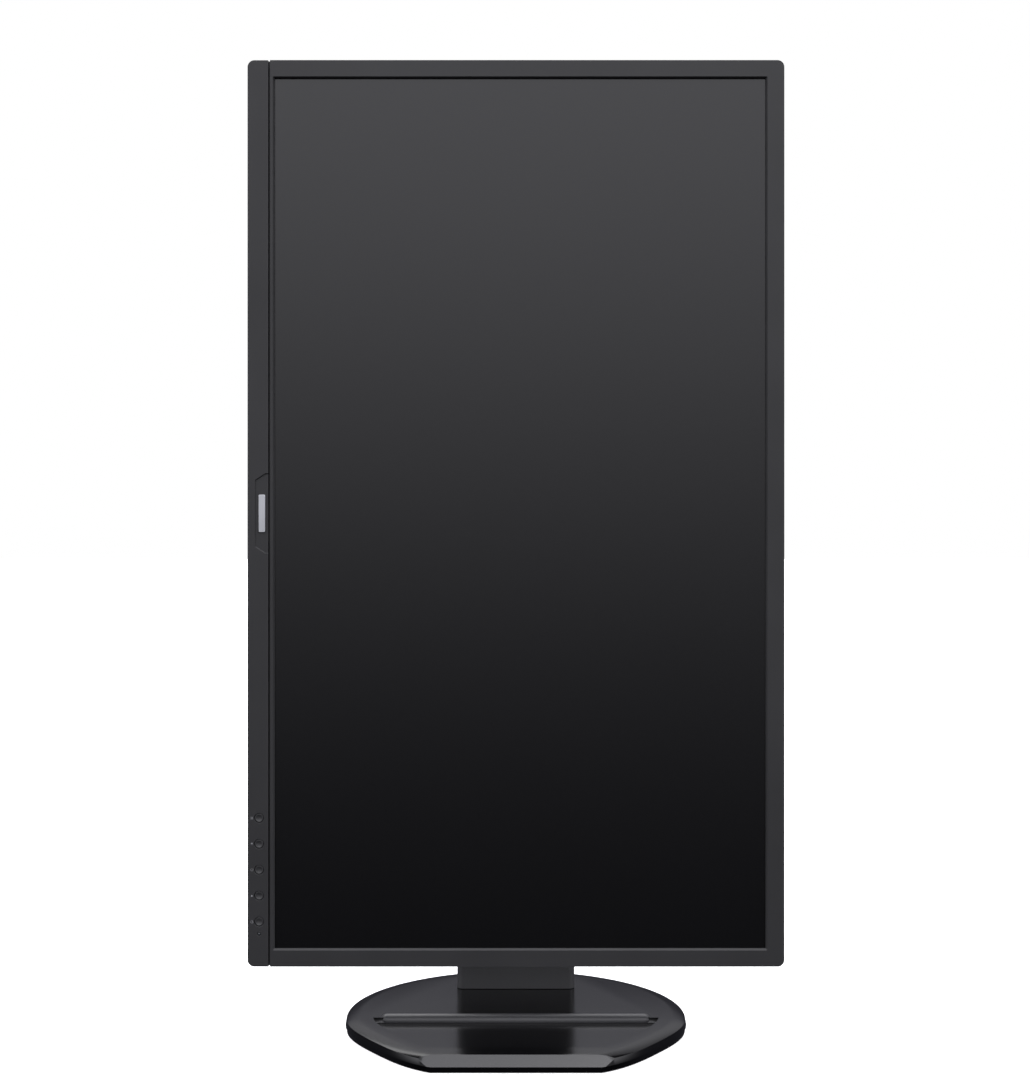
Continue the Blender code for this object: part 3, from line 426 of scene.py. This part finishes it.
def make_buttons():
    """Dished caps with a rounded rim, a flange behind the strip and a stem."""
    cap, dished, flange, stem = 3.0 * MM, 2.4 * MM, 4.2 * MM, 1.6 * MM
    seat, back, end = 3.5 * MM, 4.6 * MM, 8.2 * MM
    turns = (0.4, 0.9, 1.3, 1.57)
    dish = [(dished * i / 6, (0.78 - 0.4 * (i / 6) ** 2) * MM) for i in range(7)]
    rim = [(dished + (cap - dished) * math.sin(a), (0.62 - 0.28 * math.cos(a)) * MM) for a in turns]
    rest = [(cap, seat), (flange, seat), (flange, back), (stem, back), (stem, end), (0, end)]
    for name, x in zip(("menu", "volume", "input", "scene", "power"), BUTTON_X):
        turned = lathe(dish + rim + rest, "Y", 48, (x, 0, BUTTON_Z))
        button = object_from(f"{name}_button", turned, HEAD)
        finish_piece(button, BUTTON, f"button_{name}", [f"button_{name}"], angle=50)


def bar(x, z, width, height):
    return slab((x - width / 2, x + width / 2), PRINT_Y, (z - height / 2, z + height / 2))


def arc_band(x, z, radius, width, start, end, steps=20):
    """A flat band round part of a circle, angles in degrees from the x axis."""
    front, back = PRINT_Y
    outer = radius + width
    rows = []
    for step in range(steps + 1):
        angle = math.radians(start + (end - start) * step / steps)
        across, up = math.cos(angle), math.sin(angle)
        corners = ((radius, front), (outer, front), (outer, back), (radius, back))
        rows.append([(x + reach * across, y, z + reach * up) for reach, y in corners])
    return loft(rows)


def wedge(x, z, corners):
    """A flat shape, its corners in mm from a place."""
    return loft([[(x + a * MM, y, z + b * MM) for a, b in corners] for y in PRINT_Y])


def make_icons():
    """Small printed symbols beside the buttons, of the kind found on any monitor."""
    z = BUTTON_Z - 4.9 * MM
    line, band = 0.22 * MM, 0.2 * MM
    menu, volume, source, scene, power = BUTTON_X
    cone = ((-0.9, -0.3), (-0.1, -0.85), (-0.1, 0.85), (-0.9, 0.3))
    peak = ((-0.85, -0.45), (0.85, -0.45), (0, 0.75))
    shapes = {
        "icon_menu": [bar(menu, z + step * MM, 1.9 * MM, line) for step in (-0.6, 0, 0.6)],
        "icon_volume": [wedge(volume, z, cone), arc_band(volume, z, 0.45 * MM, band, -50, 50)],
        "icon_input": [
            arc_band(source, z, 0.8 * MM, band, 40, 320),
            bar(source + 0.5 * MM, z, 1.1 * MM, line),
        ],
        "icon_scene": [wedge(scene, z, peak)],
        "icon_power": [
            arc_band(power, z, 0.75 * MM, band, 120, 420),
            bar(power, z + 0.6 * MM, line, 0.9 * MM),
        ],
    }
    for name, parts in shapes.items():
        finish_piece(object_from(name, merged(parts), HEAD), PRINT, "head")


def make_led():
    profile = [(0, 0.02 * MM), (0.5 * MM, 0.05 * MM), (0.85 * MM, 0.16 * MM), (0.95 * MM, 0.35 * MM)]
    profile += [(0.95 * MM, 7 * MM), (0, 7 * MM)]
    lens = object_from("led_window", lathe(profile, "Y", 32, (LED_X, 0, BUTTON_Z)), HEAD)
    finish_piece(lens, LENS, "head", ["power_led_lens"], angle=50)


# ------------------------------------------------------------------ rear cover

# How far back, width, height and corner radius, in mm
COVER_SHAPE = (
    (16.3, 622, 367.5, 4.5),
    (22.6, 621.6, 367.1, 4.7),
    (23.6, 620.4, 365.9, 5.2),
    (24.3, 617.5, 363, 6),
    (39, 545, 291, 22.5),
    (41, 537, 283, 24.5),
    (43.2, 529.5, 275.5, 27),
    (47.6, 514, 260, 30),
    (48.9, 509, 255, 29.5),
    (49.6, 505.5, 251.5, 28.5),
    (49.95, 501, 247, 27.5),
)
COVER_WALL = 2.2 * MM
PAST_BACK = 60 * MM
PLATE_HALF, PLATE_FLOOR = 59 * MM, 46 * MM
BAY_FLOOR, BAY_TOP, BAY_HALF = 26 * MM, -103 * MM, 168 * MM
WELLS = [(x * MM, z * MM) for x in (-236, 236) for z in (-104, 108)]
PLATE_HOLES = [(x * MM, z * MM) for x in (-50, 50) for z in (-50, 50)]


def cover_loft(inset=0.0, front=None):
    sections = []
    for i, (y, width, height, radius) in enumerate(COVER_SHAPE):
        depth = front if front is not None and i == 0 else y * MM - inset
        outline = rounded_rectangle(width * MM - 2 * inset, height * MM - 2 * inset, radius * MM, 10)
        sections.append([(x, depth, z) for x, z in outline])
    return loft(sections)


def cover_inside():
    """The hollow of the back shell, less the walls of its bay, its plate recess and its screw wells."""
    bay = slab(
        (-BAY_HALF - COVER_WALL, BAY_HALF + COVER_WALL),
        (BAY_FLOOR - COVER_WALL, FAR),
        (-FAR, BAY_TOP + COVER_WALL),
    )
    side = (-PLATE_HALF - COVER_WALL, PLATE_HALF + COVER_WALL)
    recess = slab(side, (PLATE_FLOOR - COVER_WALL, FAR), side)
    posts = merged(drill(6.5 * MM, x, z, (36 * MM, PAST_BACK)) for x, z in WELLS)
    return carved(cover_loft(COVER_WALL, 10 * MM), HEAD, bay, recess, posts)


def vent_slots():
    """Two rows of upright slots above the plate recess."""
    pitch, width, length, count = 11 * MM, 3.2 * MM, 20 * MM, 34
    places = [(pitch * (i - (count - 1) / 2), z * MM) for z in (82, 108) for i in range(count)]
    return merged(slot_cutter(x, z, width, length, (44 * MM, PAST_BACK)) for x, z in places)


def sound_slots():
    """A group of slots over each speaker."""
    places = [(side * 222 * MM + step * 5 * MM, -116 * MM) for side in (-1, 1) for step in range(-4, 5)]
    return merged(slot_cutter(x, z, 2.2 * MM, 9 * MM, (30 * MM, PAST_BACK)) for x, z in places)


def port_openings():
    """Openings in the roof of the bay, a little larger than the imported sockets."""
    gap = 0.4 * MM
    z = (BAY_TOP - 3 * MM, BAY_TOP + 6 * MM)
    openings = []
    for node in ("ac_inlet", "hdmi_port", "display_port", "vga_port"):
        low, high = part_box(node)
        x = (HEAD_MIDDLE - high.z - gap, HEAD_MIDDLE - low.z + gap)
        openings.append(slab(x, (low.y - SCREEN_Y - gap, high.y - SCREEN_Y + gap), z))
    return merged(openings)


def make_rear_cover():
    """The back shell with its plate recess, connector bay, vents, screw wells and a lock slot."""
    plate = (-PLATE_HALF, PLATE_HALF)
    shell = object_from("rear_shell", cover_loft(), HEAD)
    carve(
        shell,
        HEAD,
        cover_inside(),
        slab((-BAY_HALF, BAY_HALF), (BAY_FLOOR, FAR), (-FAR, BAY_TOP)),
        slab(plate, (PLATE_FLOOR, FAR), plate, 8 * MM),
        vent_slots(),
        port_openings(),
        sound_slots(),
        merged(drill(2.6 * MM, x, z, (30 * MM, PAST_BACK), 24) for x, z in PLATE_HOLES),
        merged(drill(4.3 * MM, x, z, (40 * MM, PAST_BACK)) for x, z in WELLS),
        slab((-46 * MM, 46 * MM), (49.55 * MM, PAST_BACK), (-98 * MM, -68 * MM), 3 * MM),
        slot_cutter(-200 * MM, -60 * MM, 7.4 * MM, 3.2 * MM, (44 * MM, PAST_BACK)),
    )
    finish_piece(shell, REAR, "head", ["rear_cover"], bevel=0.35 * MM, angle=32)
    for i, (x, z) in enumerate(WELLS):
        shape = screw_shape(x, z, 41.2 * MM, 38.4 * MM, 3.2 * MM, 1.5 * MM, 35.4 * MM)
        screw = object_from(f"cover_screw_{i + 1}", shape, HEAD)
        finish_piece(screw, BLACK_STEEL, "head", bevel=0.12 * MM, segments=1)


def screw_shape(x, z, top, seat, radius, shank, end):
    """A pan-head screw facing back, with a cross recess."""
    rise = top - seat
    dome = [(0, 0), (0.45, 0.04), (0.75, 0.2), (0.94, 0.48), (1, 0.75)]
    profile = [(radius * share, top - rise * fall) for share, fall in dome]
    profile += [(radius, seat), (shank, seat), (shank, end), (0, end)]
    half_long, half_narrow = radius * 0.525, radius * 0.12
    deep = (top - rise * 0.65, top + MM)
    cross = [
        slab((x - a, x + a), deep, (z - b, z + b))
        for a, b in ((half_long, half_narrow), (half_narrow, half_long))
    ]
    return carved(lathe(profile, "Y", 32, (x, 0, z)), Matrix(), *cross)


def make_stand_screws():
    """Screws of the stand's plate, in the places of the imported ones."""
    for i in range(1, 5):
        low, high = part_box(f"vesa_screw_{i}")
        x, z = HEAD_MIDDLE - (low.z + high.z) / 2, (low.x + high.x) / 2
        top, end = high.y - SCREEN_Y, low.y - SCREEN_Y
        shape = screw_shape(x, z, top, top - 2.4 * MM, 4 * MM, 1.9 * MM, end)
        screw = object_from(f"plate_screw_{i}", shape, HEAD)
        finish_piece(screw, STEEL, "head", [f"vesa_screw_{i}"], bevel=0.12 * MM, segments=1)


# ------------------------------------------------------------------ stand

COLUMN_HALF = 44.7 * MM
COLUMN_DEEP = 40 * MM
COLUMN_WALL = 2.5 * MM
COLUMN_EDGE = 5 * MM
COLUMN_SPLIT = 14 * MM
# How far below the cap's top, and how far in, in mm
CAP_EDGE = ((2.6, 0), (1.5, 0.35), (0.7, 1.1), (0.2, 2.3), (0, 4))


def column_slab():
    side, height = (-COLUMN_HALF, COLUMN_HALF), (COLUMN_LOW.z, COLUMN_HIGH.z)
    return slab(side, (0, COLUMN_DEEP), height, COLUMN_EDGE, axis=2, segments=10)


def column_hollow():
    inner = COLUMN_HALF - COLUMN_WALL
    y = (COLUMN_WALL, COLUMN_DEEP - COLUMN_WALL)
    return slab((-inner, inner), y, (-FAR, FAR), 3.5 * MM, axis=2)


def make_column():
    """A front half with the slot that the lift moves in, and a rear half with two grooves across it."""
    slot_z = (HEAD_MIDDLE - 59 * MM, HEAD_MIDDLE + 117 * MM)
    slot = slab((-22.5 * MM, 22.5 * MM), (-FAR, 10 * MM), slot_z, 4 * MM)
    front = object_from("column_front", column_slab(), COLUMN)
    carve(front, COLUMN, column_hollow(), slab((-FAR, FAR), (COLUMN_SPLIT, FAR), (-FAR, FAR)), slot)
    replaced = ["column_front_cover"]
    finish_piece(front, COLUMN_PLASTIC, "base", replaced, bevel=0.5 * MM, segments=3)
    deep, half_wide = COLUMN_DEEP - 0.5 * MM, 0.5 * MM
    grooves = [slab((-FAR, FAR), (deep, FAR), (z - half_wide, z + half_wide)) for z in (0.1, 0.172)]
    ahead = slab((-FAR, FAR), (-FAR, COLUMN_SPLIT + 0.3 * MM), (-FAR, FAR))
    rear = object_from("column_rear", column_slab(), COLUMN)
    carve(rear, COLUMN, column_hollow(), ahead, merged(grooves))
    replaced = ["column_rear_cover"]
    finish_piece(rear, COLUMN_PLASTIC, "base", replaced, bevel=0.4 * MM, segments=3)


def make_column_cap():
    """The cap, its top edge rounded."""
    cap_low, cap_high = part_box("column_top_cap")
    rows = [(cap_low.z, 0)] + [(cap_high.z - down * MM, inset * MM) for down, inset in CAP_EDGE]
    sections = []
    for z, inset in rows:
        outline = rounded_rectangle(2 * (COLUMN_HALF - inset), COLUMN_DEEP - 2 * inset, COLUMN_EDGE, 10)
        sections.append([(x, y + COLUMN_DEEP / 2, z) for x, y in outline])
    cap = object_from("column_cap", loft(sections), COLUMN)
    finish_piece(cap, COLUMN_PLASTIC, "base", ["column_top_cap"])


def make_cable_clip():
    """An open loop behind the column, with a gap in its back."""
    back, edge = COLUMN_DEEP + 0.3 * MM, 5 * MM
    height = (125 * MM, 147 * MM)
    loop = slab((-24 * MM, 24 * MM), (back, back + 14 * MM), height, edge, axis=2)
    inside = (back + 2.6 * MM, back + 11.4 * MM)
    inside = slab((-20.5 * MM, 20.5 * MM), inside, (-FAR, FAR), 2.6 * MM, axis=2)
    gap = slab((-3.5 * MM, 3.5 * MM), (back + 8 * MM, FAR), (-FAR, FAR))
    clip = object_from("cable_loop", loop, COLUMN)
    carve(clip, COLUMN, inside, gap)
    finish_piece(clip, COLUMN_PLASTIC, "base", ["cable_clip"], bevel=0.8 * MM, segments=3)


def make_hinge_sleeve():
    """The cover round the tilt hinge, open in front and with a hole in its back."""
    half_x, half_z, front, back, wall = 40.5 * MM, 26 * MM, -12.5 * MM, 38.3 * MM, 2 * MM
    outer = slab((-half_x, half_x), (front, back), (-half_z, half_z), 9 * MM, segments=10)
    in_x, in_z = half_x - wall, half_z - wall
    inner = slab((-in_x, in_x), (-FAR, back - wall), (-in_z, in_z), 7 * MM)
    hole = slab((-20.5 * MM, 20.5 * MM), (back - 5 * MM, FAR), (-18.5 * MM, 18.5 * MM), 2 * MM)
    sleeve = object_from("hinge_sleeve", outer, LIFT)
    carve(sleeve, LIFT, inner, hole)
    replaced = ["hinge_cover"]
    finish_piece(sleeve, COLUMN_PLASTIC, "lift", replaced, bevel=0.7 * MM, segments=3)


# ------------------------------------------------------------------ base

BASE_RADIUS = 122.8 * MM
BASE_FLAT = 111 * MM
SIDE_STEPS, BACK_STEPS = 48, 120
SIDE_START, SIDE_END = math.radians(-8), math.radians(-62.8)
SIDE_SPREAD, SIDE_DIP = 2 * MM, 4.2 * MM
# Height and how far in from the outline, in mm
BASE_ROWS = (
    (0.4, 1.3), (0.8, 0.9), (4.2, 0.9), (4.5, 0), (8.2, 0.65), (8.6, 0.9),
    (8.85, 1.4), (9.4, 3.2), (9.85, 5.2), (10.2, 7.4), (10.42, 9.2), (10.5, 10.8),
)
# Height, how far in from the outline and how far in from the front, in mm
HOLLOW_ROWS = ((-5, 3, 4.2), (5, 3, 4.2), (6.6, 3.6, 7), (8.5, 8.5, 10.5))
TRAY_INSET = 19.5 * MM
TRAY_BACK, TRAY_FRONT = -16 * MM, -86 * MM
TRAY_FLOOR = 7.2 * MM
TRAY_WALL = 1.6 * MM
# Height over the tray's floor and how far out, in mm
TRAY_ROWS = ((0, -1.2), (0.5, -0.5), (2.2, 0), (22.8, 0))
CHAMFER_TOP, CHAMFER_LOW = (-87.1 * MM, 23.3 * MM), (-114.2 * MM, 0.8 * MM)
CHAMFER_PAST, CHAMFER_HALF = -0.2, 0.3
BEAD_Y = -12.7 * MM
BEAD_RADIUS, BEAD_HALF = 4.6 * MM, 92.4 * MM
PIN_CUT_Y = -10.2 * MM  # just in front of the swivel pin


def arc_point(radius, angle):
    return Vector((radius * math.cos(angle), radius * math.sin(angle)))


def side_radius(angle):
    """The distance from the middle to the side, which dips and then spreads a little towards the front."""
    share = min(max((angle - SIDE_START) / (SIDE_END - SIDE_START), 0), 1)
    return BASE_RADIUS + SIDE_SPREAD * share - SIDE_DIP * math.sin(math.pi * share) ** 2


def angle_at(y, inset):
    """The angle at which the right side, moved in by inset, comes forward to y."""
    angle = SIDE_START
    for _ in range(30):
        angle = math.asin(y / (side_radius(angle) - inset))
    return angle


def both_sides(inset, start, end):
    """Points forward along the right side, then back along the left one."""
    angles = [start + (end - start) * (i / SIDE_STEPS) for i in range(SIDE_STEPS + 1)]
    right = [arc_point(side_radius(angle) - inset, angle) for angle in angles]
    return right + [Vector((-point.x, point.y)) for point in reversed(right)]


def base_section(z, inset, front_inset=None):
    """The base's outline, in mm: round behind, flatter along the sides, and straight in front."""
    inset = inset * MM
    front_y = -BASE_FLAT + (inset if front_inset is None else front_inset * MM)
    sides = both_sides(inset, SIDE_START, angle_at(front_y, inset))
    sweep = math.pi - 2 * SIDE_START
    angles = [math.pi - SIDE_START - sweep * i / BACK_STEPS for i in range(1, BACK_STEPS)]
    back = [arc_point(BASE_RADIUS - inset, angle) for angle in angles]
    return [(*point, z * MM) for point in sides + back]


def tray_section(z, grow):
    inset = TRAY_INSET - grow
    start, end = angle_at(TRAY_BACK + grow, inset), angle_at(TRAY_FRONT - grow, inset)
    return [(*point, z) for point in both_sides(inset, start, end)]


def make_base():
    """The base's shell: rounded rim, sunk tray, a hole for the column, and a slope across its front."""
    bulge = loft([tray_section(z, TRAY_WALL) for z in (TRAY_FLOOR - TRAY_WALL, 1)])
    inside = carved(loft([base_section(*row) for row in HOLLOW_ROWS]), BASE, bulge)
    tray = loft([tray_section(TRAY_FLOOR + up * MM, out * MM) for up, out in TRAY_ROWS])
    hole = slab((-39.5 * MM, 39.5 * MM), (64 * MM, 98.5 * MM), (-FAR, FAR))
    front = [CHAMFER_TOP, CHAMFER_LOW, (CHAMFER_PAST, CHAMFER_LOW[1]), (CHAMFER_PAST, CHAMFER_TOP[1])]
    chamfer = loft([[(x, y, z) for y, z in front] for x in (-CHAMFER_HALF, CHAMFER_HALF)])
    shell = object_from("base_shell", loft([base_section(*row) for row in BASE_ROWS]), BASE)
    carve(shell, BASE, inside, tray, hole, chamfer)
    finish_piece(shell, STAND, "base", ["base_cover"], bevel=0.35 * MM, angle=28)


def make_bead():
    """The round bar along the tray's back edge, cut flat below and over the swivel pin."""
    turns = [math.pi / 2 * i / 8 for i in range(9)]
    ends = [(BEAD_RADIUS * math.sin(a), BEAD_HALF + BEAD_RADIUS * math.cos(a)) for a in turns]
    profile = ends + [(across, -along) for across, along in reversed(ends)]
    bead = lathe(profile, "X", 56, (0, BEAD_Y, TRAY_FLOOR + 0.6 * MM))
    bead = object_from("tray_bead", bead, BASE)
    under = slab((-FAR, FAR), (-FAR, FAR), (-FAR, TRAY_FLOOR - MM))
    over_pin = slab((-FAR, FAR), (PIN_CUT_Y, FAR), (-FAR, TRAY_FLOOR + 0.4 * MM))
    carve(bead, BASE, under, over_pin)
    # The bar takes the lightened copy of the base's plastic: a painted highlight.
    finish_piece(bead, BEAD_PAINTED_HIGHLIGHT, "base", angle=50)


# ------------------------------------------------------------------ pieces kept from the frame


def dress(material, *names, bevel=0.0):
    """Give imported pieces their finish."""
    for name in names:
        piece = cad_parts[name]
        coat(piece, material, 32)
        if bevel:
            round_edges(piece, bevel, 2, 40)


def dress_frame():
    dress(SCREEN, "lcd_cell")
    dress(STEEL, "vesa_plate", "pivot_hub", "pivot_bracket", bevel=0.3 * MM)
    dress(BLACK_STEEL, "lift_arm", "tilt_pin", "pivot_nut", "tilt_spring", "foot_screw_1", "foot_screw_2")
    dress(STEEL, "carriage", "spring_axle", "column_core", "guide_rod_left", "guide_rod_right")
    dress(STEEL, "lift_spring_roll", "lift_spring_strip", "base_plate", "turntable_disc", "swivel_pin")
    dress(STEEL, "panel_chassis", "chassis_bracket")
    dress(BOARD, "key_board", "main_board", "power_board", "led_bar")
    dress(PORT_METAL, "hdmi_port", "display_port", "vga_port")
    dress(PORT_PLASTIC, "ac_inlet", "speaker_left", "speaker_right", "panel_frame")
    dress(FILM, "optical_films", "light_guide")
    dress(RUBBER, "turntable_pad")
    dress(NYLON, "turntable_bearing", "pivot_washer", "tilt_washer_left", "tilt_washer_right")


# ------------------------------------------------------------------ room

# Brightness of the room by height of the direction, from -1 straight down to 1 straight up
FRONT_STOPS = (
    (-1.0, 0.003), (-0.24, 0.003), (-0.17, 0.006), (-0.09, 0.03), (-0.015, 0.12), (0.06, 0.25),
    (0.13, 0.41), (0.2, 0.55), (0.27, 0.65), (0.6, 0.8), (1.0, 1.0),
)
BEHIND_STOPS = (
    (-1.0, 0.006), (0.0, 0.02), (0.2, 0.015), (0.25, 0.035), (0.27, 0.085), (0.3, 0.14), (0.36, 0.17),
    (0.44, 0.19), (0.52, 0.12), (0.62, 0.12), (0.75, 0.4), (0.88, 0.9), (1.0, 1.0),
)
# The room's red and green, its blue, and its blue where it is dim, as shares of its brightness
WARM_SHARE, COOL_SHARE, DIM_COOL_SHARE = 0.98, 1.04, 1.2
ROOM_STRENGTH = 3.0
CAMERA_PLACE = (-0.64 * MM, SCREEN_Y - 1.1665, 0.3522)
CAMERA_LENS = 56.5
FLOOR_HALF, FLOOR_DROP, FLOOR_GLOW = 30, 0.2 * MM, 0.55


def height_ramp(nodes, height, stops):
    ramp = nodes.add("ShaderNodeValToRGB", {"Fac": height})
    elements = ramp.color_ramp.elements
    while len(elements) < len(stops):
        elements.new(0.5)
    for element, (level, value) in zip(elements, stops):
        blue = COOL_SHARE if value > 0.1 else DIM_COOL_SHARE
        element.position = (level + 1) / 2
        element.color = (value * WARM_SHARE, value * WARM_SHARE, value * blue, 1)
    return ramp.outputs["Color"]


def make_world():
    """White to the camera. Round the object, a room bright above and in front, and dim below and behind."""
    world = bpy.data.worlds.new("studio")
    bpy.context.scene.world = world
    world.use_nodes = True
    world.node_tree.nodes.clear()
    nodes = Nodes(world.node_tree)
    direction = nodes.add("ShaderNodeTexCoord").outputs["Generated"]
    axes = nodes.add("ShaderNodeSeparateXYZ", {"Vector": direction}).outputs
    height = nodes.spread(axes[2], -1.0, 1.0)
    in_front = height_ramp(nodes, height, FRONT_STOPS)
    behind = height_ramp(nodes, height, BEHIND_STOPS)
    colour = nodes.blend(nodes.spread(axes[1], -0.25, 0.25), in_front, behind)
    room = nodes.add("ShaderNodeBackground", {"Color": colour, "Strength": ROOM_STRENGTH})
    backdrop = nodes.add("ShaderNodeBackground", {"Color": (1, 1, 1, 1), "Strength": 1.0})
    camera_ray = nodes.add("ShaderNodeLightPath").outputs["Is Camera Ray"]
    both = nodes.add("ShaderNodeMixShader", {0: camera_ray, 1: room.outputs[0], 2: backdrop.outputs[0]})
    nodes.add("ShaderNodeOutputWorld", {"Surface": both.outputs[0]})


def area_light(name, place, target, size, power):
    data = bpy.data.lights.new(name, "AREA")
    data.shape = "RECTANGLE"
    data.size, data.size_y = size
    data.energy = power
    light = bpy.data.objects.new(name, data)
    light.location = place
    light.rotation_euler = (Vector(target) - Vector(place)).to_track_quat("-Z", "Y").to_euler()
    bpy.context.scene.collection.objects.link(light)


def make_floor():
    """A pale floor that the camera sees and the object doesn't reflect."""
    bm = bmesh.new()
    bmesh.ops.create_grid(bm, x_segments=1, y_segments=1, size=FLOOR_HALF)
    floor = object_from("studio_floor", bm, Matrix.Translation((0, 0, -FLOOR_DROP)))
    material = bpy.data.materials.new("pale_floor")
    material.use_nodes = True
    shader = material.node_tree.nodes["Principled BSDF"]
    shader.inputs["Base Color"].default_value = (0.95, 0.95, 0.95, 1)
    shader.inputs["Roughness"].default_value = 0.9
    shader.inputs["Emission Color"].default_value = (1, 1, 1, 1)
    shader.inputs["Emission Strength"].default_value = FLOOR_GLOW
    floor.data.materials.append(material)
    floor.visible_glossy = False
    floor.visible_diffuse = False


def make_camera():
    data = bpy.data.cameras.new("camera")
    data.lens = CAMERA_LENS
    data.sensor_width = 36
    data.clip_end = 100
    camera = bpy.data.objects.new("camera", data)
    camera.location = CAMERA_PLACE
    camera.rotation_euler = (math.radians(90), 0, 0)
    bpy.context.scene.collection.objects.link(camera)
    bpy.context.scene.camera = camera


make_camera()
make_world()
make_floor()
area_light("overhead", place=(0.5, -0.9, 2.2), target=(0, 0, 0.2), size=(1.6, 1.2), power=20)
area_light("rear", place=(-0.7, 1.5, 2.1), target=(0, 0, 0.3), size=(2.6, 1.8), power=26)
make_bezel()
make_trim()
make_buttons()
make_icons()
make_led()
make_rear_cover()
make_stand_screws()
make_column()
make_column_cap()
make_cable_clip()
make_hinge_sleeve()
make_base()
make_bead()
dress_frame()
bpy.context.scene.view_settings.view_transform = "Standard"
